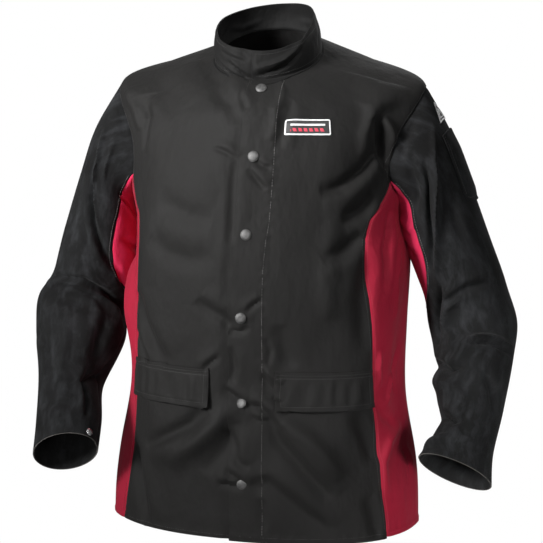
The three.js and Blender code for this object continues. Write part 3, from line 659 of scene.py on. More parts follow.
def rim_loop(rows, columns):
    """The border of a grid, as vertex numbers in order round it."""
    grid = np.arange(rows * columns).reshape(rows, columns)
    return np.concatenate([grid[0, :-1], grid[:-1, -1], grid[-1, :0:-1], grid[:0:-1, 0]])


def wall(name, points, thickness, materials, sign=1, tuck=(), pick=None, rim_pick=None, inside=0):
    """A closed cloth wall from a grid of outside points. tuck lists (edge, depth, width) and
    sinks the cloth towards a sewn edge; pick and rim_pick choose material slots."""
    normals = grid_normals(points, sign)
    across, up = lengths_along(points, 1), lengths_along(points, 0)
    far = {
        "left": across,
        "right": across[:, -1:] - across,
        "bottom": up,
        "top": up[-1:] - up,
    }
    sink = sum((depth * hill(far[edge], width) for edge, depth, width in tuck), 0 * up)
    points = points - normals * sink[..., None]
    rows, columns = points.shape[:2]
    count = rows * columns
    outer, inner = points.reshape(-1, 3), (points - normals * thickness).reshape(-1, 3)
    middle = (points - normals * thickness * 0.5).reshape(-1, 3)
    loop = rim_loop(rows, columns)
    onward = np.roll(loop, -1)
    bulge = unit(np.cross(outer[onward] - outer[np.roll(loop, 1)], normals.reshape(-1, 3)[loop]))
    bulge = bulge * sign * min(0.45 * thickness, 0.8)
    vertices = np.concatenate([outer, inner, middle[loop] + bulge])
    front, back = grid_faces(rows, columns, sign < 0), grid_faces(rows, columns, sign > 0, count)
    ring = 2 * count + np.arange(len(loop))
    ring_on = np.roll(ring, -1)
    rim_a = np.stack([onward, loop, ring, ring_on], -1)
    rim_b = np.stack([ring_on, ring, loop + count, onward + count], -1)
    rim = np.concatenate([rim_a, rim_b])
    rim = rim if sign > 0 else rim[:, ::-1]
    faces = np.concatenate([front, back, rim])
    indices = np.zeros(len(faces), int)
    indices[len(front) : 2 * len(front)] = inside
    if pick is not None:
        indices[: len(front)] = pick.ravel()
    if rim_pick is not None:
        edge = np.zeros(len(loop), int)
        edge[rim_pick(points, loop)] = 1
        indices[-len(rim) :] = np.concatenate([edge, edge])
    uv = np.stack([across - across[:, -1:] / 2, up], -1).reshape(-1, 2)
    uv = np.concatenate([uv, uv, uv[loop]])
    obj = add_mesh(name, vertices, faces, materials, indices, uv)
    return obj


# One stitch, as rings: place along it, width and rise.
STITCH = [(-0.5, 0.25, -0.5), (-0.36, 0.9, 0.1), (0.0, 1.0, 0.55), (0.36, 0.9, 0.1), (0.5, 0.25, -0.5)]


def stitches(name, lines, material, length=2.9, gap=1.1, radius=0.32):
    """Rows of stitches: each line is (points, normals) along a seam's outside."""
    corners = np.arange(6) * np.pi / 3
    vertices, faces, start = [], [], 0
    for points, normals in lines:
        way = lengths_along(points[:, None], 0)[:, 0]
        at = np.arange(length, way[-1] - length, length + gap)
        if not len(at):
            continue
        here = np.stack([np.interp(at, way, points[:, k]) for k in range(3)], -1)
        ahead = np.stack([np.interp(at + 0.5, way, points[:, k]) for k in range(3)], -1)
        up = unit(np.stack([np.interp(at, way, normals[:, k]) for k in range(3)], -1))
        along = unit(ahead - here)
        side = unit(np.cross(up, along))
        for move, wide, rise in STITCH:
            middle = here + along * (move * length) + up * (rise * radius)
            for corner in corners:
                spoke = side * np.cos(corner) + up * 0.8 * np.sin(corner)
                vertices.append(middle + spoke * (radius * wide))
        count, size = len(at), len(STITCH) * len(corners)
        ids = start + np.arange(size)[:, None] * count + np.arange(count)[None]
        for r in range(len(STITCH) - 1):
            for c in range(len(corners)):
                d = (c + 1) % len(corners)
                a, b = r * len(corners) + c, r * len(corners) + d
                above = len(corners)
                faces.append(np.stack([ids[a], ids[b], ids[b + above], ids[a + above]], -1))
        start += size * count
    return add_mesh(name, np.concatenate(vertices), np.concatenate(faces), [material], sharp=80)


# Materials, all from nodes. The collar's black and the gussets' red are the same cloths as the
# panels', made darker and brighter to match the light that falls on them in the photograph.
def new_material(name):
    """A material, its node tree, and the object's and the cloth's own coordinates."""
    material = bpy.data.materials.new(name)
    material.use_nodes = True
    tree = material.node_tree
    tree.nodes.clear()
    coords = tree.nodes.new("ShaderNodeTexCoord")
    return material, tree, coords.outputs["Object"], coords.outputs["UV"]


def node(tree, kind, **inputs):
    made = tree.nodes.new("ShaderNode" + kind)
    for key, value in inputs.items():
        socket = made.inputs[key.replace("_", " ")]
        if isinstance(value, bpy.types.NodeSocket):
            tree.links.new(value, socket)
        else:
            socket.default_value = value
    return made


def noise(tree, place, scale, detail=3.0, rough=0.55, stretch=(1, 1, 1)):
    at = node(tree, "Mapping", Vector=place, Scale=stretch).outputs[0]
    return node(tree, "TexNoise", Vector=at, Scale=scale, Detail=detail, Roughness=rough).outputs[0]


def ramp(tree, value, low, high, out_low=0.0, out_high=1.0):
    ends = {"From_Min": low, "From_Max": high, "To_Min": out_low, "To_Max": out_high}
    return node(tree, "MapRange", Value=value, **ends).outputs[0]


def mix(tree, share, a, b):
    return node(tree, "MixRGB", Fac=share, Color1=a, Color2=b).outputs[0]


def math(tree, kind, a, b):
    made = tree.nodes.new("ShaderNodeMath")
    made.operation = kind
    for socket, value in zip(made.inputs, (a, b)):
        if isinstance(value, bpy.types.NodeSocket):
            tree.links.new(value, socket)
        else:
            socket.default_value = value
    return made.outputs[0]


def finish_material(material, color, roughness, bump=None, depth=0.0002, strength=0.5, **sockets):
    tree = material.node_tree
    shader = node(tree, "BsdfPrincipled", Base_Color=color, Roughness=roughness)
    for key, value in sockets.items():
        shader.inputs[key.replace("_", " ")].default_value = value
    if bump is not None:
        made = node(tree, "Bump", Height=bump, Distance=depth, Strength=strength)
        tree.links.new(made.outputs[0], shader.inputs["Normal"])
    out = tree.nodes.new("ShaderNodeOutputMaterial")
    tree.links.new(shader.outputs[0], out.inputs[0])
    return material


def grey(level, warm=0.0, cool=0.0):
    return (level * (1 + warm), level, level * (1 - warm + cool), 1)


# How high the small crumples of the cloth stand, against the threads.
CRUMPLE = 45.0


def cotton(name, dark, light, sheen=0.02, tint=(1, 1, 1, 1)):
    """Woven cotton: crossed threads, a faint mottling from wear and short lighter fibres."""
    material, tree, place, cloth = new_material(name)
    cloud = noise(tree, place, 7.0, 4.0)
    fleck = noise(tree, place, 900.0, 2.0)
    warp = noise(tree, cloth, 1.0, 1.0, 0.5, (2600, 260, 1))
    weft = noise(tree, cloth, 1.0, 1.0, 0.5, (260, 2600, 1))
    weave = math(tree, "ADD", warp, weft)
    color = mix(tree, ramp(tree, cloud, 0.3, 0.7), dark, light)
    color = mix(tree, ramp(tree, weave, 0.7, 1.3, 0.0, 0.35), color, light)
    color = mix(tree, ramp(tree, fleck, 0.62, 0.8, 0.0, 0.25), color, tint)
    rough = ramp(tree, cloud, 0.3, 0.7, 0.68, 0.78)
    crumple = noise(tree, place, 30.0, 3.0, 0.5, (1, 1, 0.55))
    height = math(tree, "ADD", weave, math(tree, "MULTIPLY", crumple, CRUMPLE))
    return finish_material(
        material, color, rough, height, 0.0003, 0.35, Sheen_Weight=sheen, Sheen_Roughness=0.5,
        Specular_IOR_Level=0.22,
    )


def suede(name, dark, light, scuff):
    """Split leather: nap brushed in clouds, lighter scuffs and a fine fibrous grain."""
    material, tree, place, hide = new_material(name)
    cloud = noise(tree, place, 11.0, 5.0, 0.6)
    brushed = noise(tree, hide, 1.0, 6.0, 0.65, (60, 22, 1))
    patch = noise(tree, place, 42.0, 6.0, 0.7)
    fibre = noise(tree, hide, 1.0, 3.0, 0.6, (1500, 700, 1))
    color = mix(tree, ramp(tree, cloud, 0.35, 0.66), dark, light)
    color = mix(tree, ramp(tree, brushed, 0.46, 0.78, 0.0, 0.75), color, scuff)
    color = mix(tree, ramp(tree, patch, 0.56, 0.8, 0.0, 0.5), color, scuff)
    color = mix(tree, ramp(tree, fibre, 0.35, 0.7, 0.0, 0.3), color, dark)
    height = math(tree, "ADD", fibre, math(tree, "MULTIPLY", patch, 2.6))
    rough = ramp(tree, brushed, 0.35, 0.75, 0.82, 0.97)
    return finish_material(
        material, color, rough, height, 0.0006, 0.6, Sheen_Weight=0.03, Sheen_Roughness=0.45,
        Specular_IOR_Level=0.08,
    )


def thread(name, dark, light):
    """Twisted sewing thread."""
    material, tree, place, _ = new_material(name)
    twist = noise(tree, place, 1800.0, 2.0)
    worn = noise(tree, place, 40.0, 3.0)
    color = mix(tree, ramp(tree, math(tree, "ADD", twist, worn), 0.7, 1.3), dark, light)
    return finish_material(material, color, ramp(tree, worn, 0.3, 0.7, 0.5, 0.75), twist, 0.0001, 0.5)


def metal(name, dark, light, roughness):
    """Plated metal with fine scratches and dull spots from handling."""
    material, tree, place, _ = new_material(name)
    spots = noise(tree, place, 260.0, 4.0)
    scratch = noise(tree, place, 1.0, 2.0, 0.5, (3000, 300, 900))
    color = mix(tree, ramp(tree, spots, 0.35, 0.7), dark, light)
    rough = ramp(tree, math(tree, "ADD", spots, scratch), 0.7, 1.4, roughness, roughness + 0.25)
    return finish_material(material, color, rough, scratch, 0.00005, 0.4, Metallic=0.85)


def embroidery(name, color_low, color_high):
    """Satin stitch: threads side by side."""
    material, tree, place, cloth = new_material(name)
    strands = noise(tree, cloth, 1.0, 2.0, 0.5, (2600, 300, 1))
    worn = noise(tree, place, 90.0, 3.0)
    color = mix(tree, ramp(tree, math(tree, "ADD", strands, worn), 0.75, 1.25), color_low, color_high)
    rough = ramp(tree, worn, 0.3, 0.7, 0.5, 0.7)
    return finish_material(material, color, rough, strands, 0.0003, 0.6, Sheen_Weight=0.2)


BLACK = cotton("black_cotton", grey(0.0067, 0.05), grey(0.0092, 0.05), 0.02, grey(0.020, 0.05))
COLLAR_BLACK = cotton("collar_cotton", grey(0.0036, 0.04), grey(0.0054, 0.04), 0.02, grey(0.012, 0.04))
# The collar's inside: the panels' cotton made darker still, as painted shade inside the collar.
COLLAR_INSIDE_SHADE = cotton("collar_inside_shade", grey(0.0030, 0.02), grey(0.0044, 0.02), 0.01, grey(0.009, 0.02))
RED = cotton("red_cotton", (0.24, 0.0045, 0.020, 1), (0.31, 0.007, 0.028, 1), 0.03, (0.45, 0.03, 0.07, 1))
GUSSET_RED = cotton(
    "gusset_cotton", (0.50, 0.014, 0.060, 1), (0.60, 0.022, 0.082, 1), 0.03, (0.7, 0.06, 0.14, 1)
)
SUEDE = suede("black_suede", grey(0.0062), grey(0.0125, -0.03), grey(0.040, -0.04, 0.04))
# The sleeves' inside: a copy of the suede made a little lighter, as painted light inside the cuffs.
SUEDE_INSIDE_LIT = suede("suede_inside_lit", grey(0.010), grey(0.016), grey(0.035, -0.03, 0.03))
CUT_EDGE = suede("cut_leather_edge", grey(0.05, 0.06), grey(0.09, 0.06), grey(0.14, 0.05))
THREAD = thread("black_thread", grey(0.026, 0.02), grey(0.05, 0.02))
PALE_THREAD = thread("grey_thread", grey(0.12, 0.02), grey(0.20, 0.02))
RED_THREAD = thread("red_thread", (0.28, 0.012, 0.03, 1), (0.5, 0.05, 0.08, 1))
SNAP = metal("dark_metal", grey(0.10, 0.01), grey(0.17, 0.01), 0.52)
BRIGHT = metal("bright_metal", grey(0.65), grey(0.85), 0.12)
PATCH = embroidery("badge_cloth", grey(0.012), grey(0.03))
WHITE = embroidery("badge_white", grey(0.62), grey(0.85))
BADGE_RED = embroidery("badge_red", (0.5, 0.02, 0.05, 1), (0.75, 0.06, 0.1, 1))

frame_collection = bpy.context.scene.collection


def panel_rows(hem=0.0):
    """A panel's rows from the hem to the gusset, round the armhole and over the yoke, with the
    angle round the armhole where a row ends at it."""
    lower = np.linspace(hem, GUSSET_ROW, 160)[:-1]
    arounds = np.linspace(180 - GUSSET_HALF, 0, 70)
    yoke = np.linspace(TIP_ROW, NECK_ROW + 0.08, 56)[1:]
    rows = np.concatenate([lower, armhole_row(arounds), yoke])
    around = np.concatenate([np.full(len(lower), np.nan), arounds, np.full(len(yoke), np.nan)])
    return rows, around


def panel_edge(rows, around, behind):
    """The turn at which each row of a front or back panel ends."""
    seam = side_seam(rows, behind)
    hole = armhole_turn(np.where(np.isnan(around), 0, 360 - around if behind else around))
    return np.where(np.isnan(around), np.where(rows < GUSSET_ROW, seam, 90), hole)


def pucker(distance, along, width=7.0, height=0.35, pitch=13.0):
    """Small gathers along a row of stitches."""
    wobble = np.sin(along * 2 * np.pi / pitch + 1.7 * np.sin(along / 31.0))
    return height * wobble * hill(distance, width)


def on_body(turn, row, lift=0.0):
    """Points on the dressed body and their normals, for what is sewn to it."""
    point = body_surface(turn, row)
    step = 0.35
    du = body_surface(turn + step, row) - body_surface(turn - step, row)
    dv = body_surface(turn, row + 0.01) - body_surface(turn, row - 0.01)
    normal = unit(np.cross(du, dv))
    return point + normal * lift, normal


def mirrored(points, side):
    """The grid with its columns in the order that turns its outside outward on that side."""
    return points if side > 0 else points[:, ::-1]


def hem_height(points, along):
    """The doubled hem stands a little proud and puckers along its stitches."""
    up = points[..., 2] + BODY_LENGTH - HEM
    return 0.8 * (1 - smooth(up, -2, 1)) + pucker(up, along, 7, 0.4, 19)


def seam_depth(rows):
    """How far a panel's edge sinks into its seam: the shoulder seam lies flat."""
    return 1.3 * (1 - smooth(rows, TIP_ROW - 0.1, TIP_ROW + 0.15))[:, None]


def front_panel(side):
    rows, around = panel_rows(-0.055 if side > 0 else 0.0)
    edge = panel_edge(rows, around, False)
    start_x = -PLACKET_OUTSIDE if side > 0 else -PLACKET_INSIDE - 5
    inner = turn_at(start_x, rows) if side > 0 else -turn_at(PLACKET_INSIDE, rows)
    share = np.linspace(0, 1, FRONT_COLUMNS)
    turn = side * lerp(inner[:, None], edge[:, None], share[None])
    row = np.broadcast_to(rows[:, None], turn.shape)
    points = body_surface(turn, row)
    normals = body_normal(turn, row)
    level = points[..., 2]
    x = (turn * RAD) * between(SECTIONS[:, 1], row) - opening_at(row)
    height = np.zeros_like(level)
    if side > 0:
        # The placket is folded double: it stands a little proud of the panel beside it.
        height += 0.5 * (1 - smooth(x, PLACKET_INSIDE - 2, PLACKET_INSIDE + 2))
        height += pucker(x - PLACKET_INSIDE, level, 6, 0.45, 17)
        height += pucker(x + PLACKET_OUTSIDE, level, 5, 0.3, 23)
    else:
        height -= (CLOTH_WALL + 0.6) * smooth(x, -PLACKET_OUTSIDE - 16, -PLACKET_OUTSIDE - 2)
    height += hem_height(points, x)
    points = points + normals * height[..., None]
    outer_edge = "right" if side > 0 else "left"
    points = mirrored(points, side)
    name = "cloth_front_left" if side > 0 else "cloth_front_right"
    tuck = [(outer_edge, seam_depth(rows), 3.5)]
    obj = wall(name, points, CLOTH_WALL, [BLACK], 1, tuck)
    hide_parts("front_left" if side > 0 else "front_right")
    return obj


def back_panel():
    rows, around = panel_rows()
    edge = panel_edge(rows, around, True)
    share = np.linspace(0, 1, BACK_COLUMNS)
    turn = lerp(edge[:, None], 360 - edge[:, None], share[None])
    row = np.broadcast_to(rows[:, None], turn.shape)
    points, normals = body_surface(turn, row), body_normal(turn, row)
    points = points + normals * hem_height(points, points[..., 0])[..., None]
    tuck = [("left", seam_depth(rows), 3.5), ("right", seam_depth(rows), 3.5)]
    obj = wall("cloth_back", points, CLOTH_WALL, [BLACK], 1, tuck)
    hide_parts("back_panel")


# Hollows of the side panels under the arms: level, spread, middle turn, width and depth.
HOLLOWS = {
    1: [(-268, 30, 102, 34, 11)],
    -1: [(-300, 42, 76, 24, 30), (-415, 52, 86, 36, -12)],
}


def side_panel(side):
    arounds = np.linspace(180 - GUSSET_HALF, 180 + GUSSET_HALF, SIDE_COLUMNS)
    front, back = armhole_turn(180 - GUSSET_HALF), armhole_turn(180 + GUSSET_HALF)
    share = (armhole_turn(arounds) - front) / (back - front)
    up = np.linspace(0, 1, 160)[:, None]
    row = armhole_row(arounds)[None] * up
    seam_row = GUSSET_ROW * up
    turn = side * lerp(side_seam(seam_row, False), side_seam(seam_row, True), share[None])
    points, normals = body_surface(turn, row), body_normal(turn, row)
    height = hem_height(points, turn * 3)
    for level, spread, middle, width, depth in HOLLOWS[side]:
        near = hill(points[..., 2] - level, spread) * hill(turn * side - middle, width)
        seams = smooth(share, 0, 0.12) * smooth(1 - share, 0, 0.2) * smooth(1 - up, 0, 0.08)
        height = height - depth * near * seams
    points = points + normals * height[..., None]
    points = mirrored(points, side)
    tuck = [("left", 1.5, 3.5), ("right", 1.5, 3.5), ("top", 1.3, 4.0)]
    obj = wall(f"cloth_side_{NAMES[side]}", points, CLOTH_WALL, [RED], 1, tuck)
    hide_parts(f"side_panel_{NAMES[side]}")


def sleeve(side):
    at = np.concatenate([np.linspace(0, 1.2, 36)[:-1], np.linspace(1.2, LAST_RING, 150)])[:, None]
    half = np.maximum(gusset_half(at), 0.02)
    share = np.linspace(0, 1, 112)[None]
    around = gusset_middle(at) + lerp(half, 360 - half, share)
    points = sleeve_surface(side, around, np.broadcast_to(at, around.shape))
    points = mirrored(points, side)
    obj = wall(
        f"leather_sleeve_{NAMES[side]}", points[::-1], LEATHER_WALL, [SUEDE, CUT_EDGE, SUEDE_INSIDE_LIT], -1,
        [("left", 1.2, 3.0), ("right", 1.2, 3.0), ("top", 0.9, 3.0)],
        rim_pick=lambda grid, loop: loop < grid.shape[1],
        inside=2,
    )
    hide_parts(f"sleeve_{NAMES[side]}")


def arm_gusset(side):
    at = np.linspace(0, GUSSET_END, 84)[:, None]
    half = gusset_half(at)
    share = np.linspace(0, 1, 36)[None]
    around = gusset_middle(at) + lerp(-half, half, share)
    points = sleeve_surface(side, around, np.broadcast_to(at, around.shape))
    points = mirrored(points, side)
    tuck = [("left", 1.4, 3.0), ("right", 1.4, 3.0), ("top", 1.3, 3.5)]
    obj = wall(f"cloth_arm_gusset_{NAMES[side]}", points[::-1], CLOTH_WALL, [GUSSET_RED], -1, tuck)
    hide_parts(f"arm_gusset_{NAMES[side]}")


NECK_OPENING = float(turn_at(0, NECK_ROW))
COLLAR_START = NECK_OPENING - COLLAR_OVER / NECK_HALF_WIDTH / RAD
COLLAR_END = 360 + NECK_OPENING + COLLAR_UNDER / NECK_HALF_WIDTH / RAD
# Creases of the collar, with lines of (across, up) points round it from its front.
COLLAR_CREASES = [
    (-3.2, 2.6, 0.8, [(-77, 15), (-47, 6), (-21, -2)]),
    (-3.2, 2.6, 0.8, [(-44, 22), (-26, 12), (-9, 1)]),
    (-2.2, 3, 0.6, [(-63, 32), (-36, 29), (-13, 26)]),
    (2.4, 3.5, 0, [(-67, 10), (-43, 1), (-25, -7)]),
    (-1.8, 3, 0.6, [(-3, 36), (-1, 21), (2, 6)]),
    (4, 4, 0, [(0, 17), (20, 22), (43, 27), (65, 36), (94, 44)]),
    (-5, 3.4, 0.5, [(-1, 6), (23, 11), (50, 17), (77, 30)]),
    (-3, 4, 0.5, [(143, 44), (110, 43), (80, 38)]),
    (-2, 5, 0.4, [(-40, 44), (-20, 40), (-6, 30)]),
    (-1.8, 5, 0.5, [(150, 8), (185, 18), (220, 14)]),
    (-1.8, 5, 0.5, [(-165, 22), (-190, 12), (-222, 16)]),
    (-1.6, 5, 0.5, [(-120, 12), (-140, 24), (-160, 30)]),
    (-1.6, 5, 0.5, [(118, 16), (136, 28), (150, 34)]),
]


def collar_surface(turn, share, inset=0.0):
    """The collar's outside; a share below 0 laps over the body under the neckline."""
    point = collar_shape(turn, np.maximum(share, 0))
    under = np.maximum(-share, 0)
    below = body_surface(turn, NECK_ROW - 0.55 * under, 0)
    edge = body_surface(turn, np.full(np.shape(under), float(NECK_ROW)), 0)
    point = point + (below - edge)
    sin, cos = np.sin(turn * RAD), np.cos(turn * RAD)
    normal = np.stack([sin, -cos, 0 * sin], -1)
    arc, up = turn * RAD * NECK_HALF_WIDTH, share * COLLAR_HEIGHT
    height = -inset + 0 * arc
    height = height + crease_heights(COLLAR_CREASES, turned(turn) * RAD * NECK_HALF_WIDTH, up)
    height = height + 0.25 * np.sin(arc / 6.1) * hill(share - 0.9, 1 / 9)
    height = height + 2.6 * smooth(-share, 0.0, 0.12)
    height = height + 1.6 * hill(turn - COLLAR_START, 5) * (1 - smooth(share, 0.2, 0.9))
    return point + normal * height[..., None]


def collar():
    turn = np.linspace(COLLAR_START, COLLAR_END, 230)[None]
    up = np.linspace(0, 1, 30)[:, None]
    lap = 0.1 + 0.75 * bump(turn, NECK_OPENING, 24)
    turn, share = np.broadcast_arrays(turn, lerp(-lap, 1, up))
    tucked = (COLLAR_WALL + 0.6) * smooth(turn, 360 + COLLAR_START - 24, 360 + COLLAR_START - 4)
    points = collar_surface(turn, share, tucked)
    obj = wall("cloth_collar", points, COLLAR_WALL, [COLLAR_BLACK, COLLAR_INSIDE_SHADE], 1, inside=1)
    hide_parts("collar")


def row_at_level(turn_of, level):
    """The row at which the body reaches a level, for an array of levels."""
    low = np.zeros_like(level)
    high = np.full_like(level, NECK_ROW)
    for _ in range(24):
        middle = (low + high) / 2
        below = body_surface(turn_of(middle), middle, 0)[..., 2] < level
        low, high = np.where(below, middle, low), np.where(below, high, middle)
    return (low + high) / 2


def place_row(x, level):
    x, level = arrays(x, level)
    return row_at_level(lambda r: turn_at(x, r), level)


# Front snaps, down from the neck point as shares of the body's length.
SNAP_LEVELS = [0.1, 0.229, 0.381, 0.546, 0.719, 0.886]
# Snap caps, out from the middle and up from the cloth as shares of radius and height.
CAP = [
    (0.0, 1.0), (0.3, 0.985), (0.55, 0.93), (0.72, 0.84), (0.84, 0.7), (0.9, 0.58),
    (0.935, 0.5), (0.96, 0.5), (1.0, 0.42), (1.02, 0.28), (1.0, 0.1), (0.96, 0.0), (0.0, 0.0),
]


def snap(name, node_name, point, normal, radius, height, material, lift):
    around = np.arange(SNAP_CORNERS) * 2 * np.pi / SNAP_CORNERS
    side = unit(np.cross(normal, [0.1, 0.2, 0.97]))
    other = np.cross(normal, side)
    rings = [
        point + normal * (lift + up * height)
        + (side * np.cos(around)[:, None] + other * np.sin(around)[:, None]) * max(out, 0.001) * radius
        for out, up in CAP
    ]
    vertices = np.concatenate(rings)
    i, j = np.meshgrid(np.arange(SNAP_CORNERS), np.arange(len(CAP) - 1))
    a, b = i + j * SNAP_CORNERS, (i + 1) % SNAP_CORNERS + j * SNAP_CORNERS
    faces = np.stack([a, a + SNAP_CORNERS, b + SNAP_CORNERS, b], -1).reshape(-1, 4)
    obj = add_mesh(name, vertices, faces, [material], sharp=50)
    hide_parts(node_name)


def front_snaps():
    for i, share in enumerate(SNAP_LEVELS):
        row = place_row(0.0, -share * BODY_LENGTH)
        point, normal = on_body(turn_at(0.0, row), row)
        snap(f"snap_cap_{i + 1}", f"snap_{i + 1}", point, normal, SNAP_RADIUS, SNAP_HEIGHT, SNAP, 0.4)


def flap(side):
    across = np.linspace(0, 1, 64)[None]
    up = np.linspace(0, 1, 26)[:, None]
    level = -(FLAP_TOP + FLAP_HEIGHT * (1 - up)) + 0 * across
    row = row_at_level(lambda r: np.full_like(r, side * 40.0), level)
    seam = side_seam(row, False) - FLAP_FROM_SEAM / BODY_HALF_WIDTH / RAD
    turn = side * lerp(turn_at(FLAP_FROM_OPENING, row), seam, across)
    point, normal = on_body(turn, row)
    lift = 0.9 + FLAP_FLARE * (1 - up) ** 1.5 * lerp(1, 0.4, across) + FLAP_WALL
    x, y = across * FLAP_WIDTH, (1 - up) * FLAP_HEIGHT
    ripple = np.sin(x / 3.6 + 1.3 * np.sin(x / 15 + side) + y / 40) + 0.6 * np.sin(x / 9.5 + side)
    ripple = 0.9 * ripple * smooth(y, 8, 24) * (1 - smooth(y, 42, 54))
    edge = np.minimum(np.minimum(x, FLAP_WIDTH - x), FLAP_HEIGHT - y)
    pillow = 0.8 * (1 - hill(edge, 3)) - 0.9 * hill(edge - 6, 1.8) - 0.9 * hill(y - 7, 1.8)
    points = point + normal * (lift + ripple + pillow - 0.8)[..., None]
    points = mirrored(points, side)
    obj = wall(f"cloth_flap_{NAMES[side]}", points, FLAP_WALL, [BLACK], 1)
    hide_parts(f"pocket_flap_{NAMES[side]}")
    normals = grid_normals(points)
    lines = [(points[k], normals[k]) for k in (-3, -5)]
    lines += [(points[2:-1, 3], normals[2:-1, 3]), (points[2:-1, -4], normals[2:-1, -4])]
    lines.append((points[3, 3:-3], normals[3, 3:-3]))
    stitches(f"stitches_flap_{NAMES[side]}", lines, THREAD)


def chest_badge():
    """A framed patch with a bar and, under it, a row of slanted red marks."""
    across = np.linspace(0, 1, 150)[None]
    up = np.linspace(0, 1, 48)[:, None]
    level = -(CHEST_BADGE_TOP + CHEST_BADGE_HEIGHT * (1 - up)) + 0 * across
    x = CHEST_BADGE_FROM_OPENING + CHEST_BADGE_WIDTH * across + 0 * up
    row = place_row(x, level)
    point, normal = on_body(turn_at(x, row), row)
    xm, ym = CHEST_BADGE_WIDTH * (across - 0.5), CHEST_BADGE_HEIGHT * (up - 0.5)
    in_x, in_y = CHEST_BADGE_WIDTH / 2 - np.abs(xm), CHEST_BADGE_HEIGHT / 2 - np.abs(ym)
    inner = np.hypot(np.maximum(BADGE_CORNER - in_x, 0), np.maximum(BADGE_CORNER - in_y, 0))
    edge = np.where(inner > 0, BADGE_CORNER - inner, np.minimum(in_x, in_y))
    bar = (np.abs(ym - 3.4) < 1.5) & (in_x > 8)
    slant = ((xm + 0.4 * ym + 100) % 8.4 < 5.2) & (np.abs(ym + 3.8) < 2.4) & (in_x > 8)
    kind = np.where((edge < BADGE_BORDER) | bar, 1, np.where(slant, 2, 0))
    rise = np.where(kind > 0, 0.45, 0.0)
    shrink = 0.7 * np.maximum(inner - BADGE_CORNER, 0)
    pull = np.stack([-np.sign(xm) * shrink, 0 * shrink, -np.sign(ym) * shrink], -1)
    points = point + pull + normal * (1.5 + rise)[..., None]
    obj = wall("patch_chest", points, BADGE_WALL, [PATCH, WHITE, BADGE_RED], 1, pick=kind[:-1, :-1])
    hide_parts("chest_badge")


def on_sleeve(side, around, at):
    """Points on the dressed sleeve and their normals."""
    du = sleeve_surface(side, around + 1, at) - sleeve_surface(side, around - 1, at)
    dv = sleeve_surface(side, around, at + 0.02) - sleeve_surface(side, around, at - 0.02)
    return sleeve_surface(side, around, at), unit(np.cross(du, dv)) * side


def sleeve_place(side, across, length, outer=0.0):
    """Points on a sleeve, length below the shoulder tip and across from its outer line."""
    probe = np.linspace(0, LAST_RING, 400)
    line = sleeve_surface(side, np.full(400, outer), probe, 0)
    far = np.linalg.norm(line - line[0], axis=-1)
    at = np.interp(length, far, probe)
    return on_sleeve(side, outer + across / BICEPS_RADIUS / RAD, at)


def sleeve_pocket():
    side = np.linspace(-1, 1, 64)[None]
    down = np.linspace(0, 1, 56)[:, None]
    rounded = 0.16 * (1 - np.sqrt(1 - np.abs(side) ** 5))
    length = POCKET_TOP + POCKET_LENGTH * (1 - rounded) * down
    point, normal = sleeve_place(1, side * POCKET_WIDTH / 2 + 0 * down, length, POCKET_MIDDLE)
    edge = np.minimum((1 - np.abs(side)) * POCKET_WIDTH / 2, (1 - down) * POCKET_LENGTH)
    bag = 1.6 * smooth(edge, 4, 20) * smooth(down, 0.05, 0.3) - 0.6 * hill(edge - 5, 1.6)
    points = point + normal * (1.0 + LEATHER_WALL + bag)[..., None]
    obj = wall("leather_sleeve_pocket", points, LEATHER_WALL, [SUEDE], 1)
    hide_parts("sleeve_pocket")
    normals = grid_normals(points)
    lines = [(points[1:-3, k], normals[1:-3, k]) for k in (3, -4)]
    lines.append((points[-4, 3:-3], normals[-4, 3:-3]))
    stitches("stitches_sleeve_pocket", lines, THREAD)


def arm_badge():
    """A framed triangle with a plain mark inside."""
    across = np.linspace(-1, 1, 70)[None]
    down = np.linspace(0, 1, 70)[:, None]
    half = lerp(ARM_BADGE_TIP, ARM_BADGE_FOOT, down)
    length = ARM_BADGE_TOP + ARM_BADGE_HEIGHT * down + 0 * across
    point, normal = sleeve_place(1, ARM_BADGE_MIDDLE + across * half, length)
    edge = np.minimum((1 - np.abs(across)) * half * 0.88, ARM_BADGE_HEIGHT * (1 - down))
    border = (edge < BADGE_BORDER) | (down < 0.1)
    inside = (edge > 4.6) & (edge < 6.2) & (down > 0.3)
    kind = np.where(border | inside, 1, 0)
    points = point + normal * (1.6 + np.where(kind > 0, 0.4, 0.0))[..., None]
    obj = wall("patch_arm", points, BADGE_WALL, [PATCH, WHITE], 1, pick=kind[:-1, :-1])
    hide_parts("arm_badge")


def cuff_snap():
    at = LAST_RING - CUFF_SNAP_FROM_EDGE / FOREARM[-1] * 5
    point, normal = on_sleeve(-1, np.array(CUFF_SNAP_AROUND), np.array(at))
    snap("snap_cap_cuff", "cuff_snap", point, normal, CUFF_SNAP_RADIUS, CUFF_SNAP_HEIGHT, BRIGHT, 0.3)


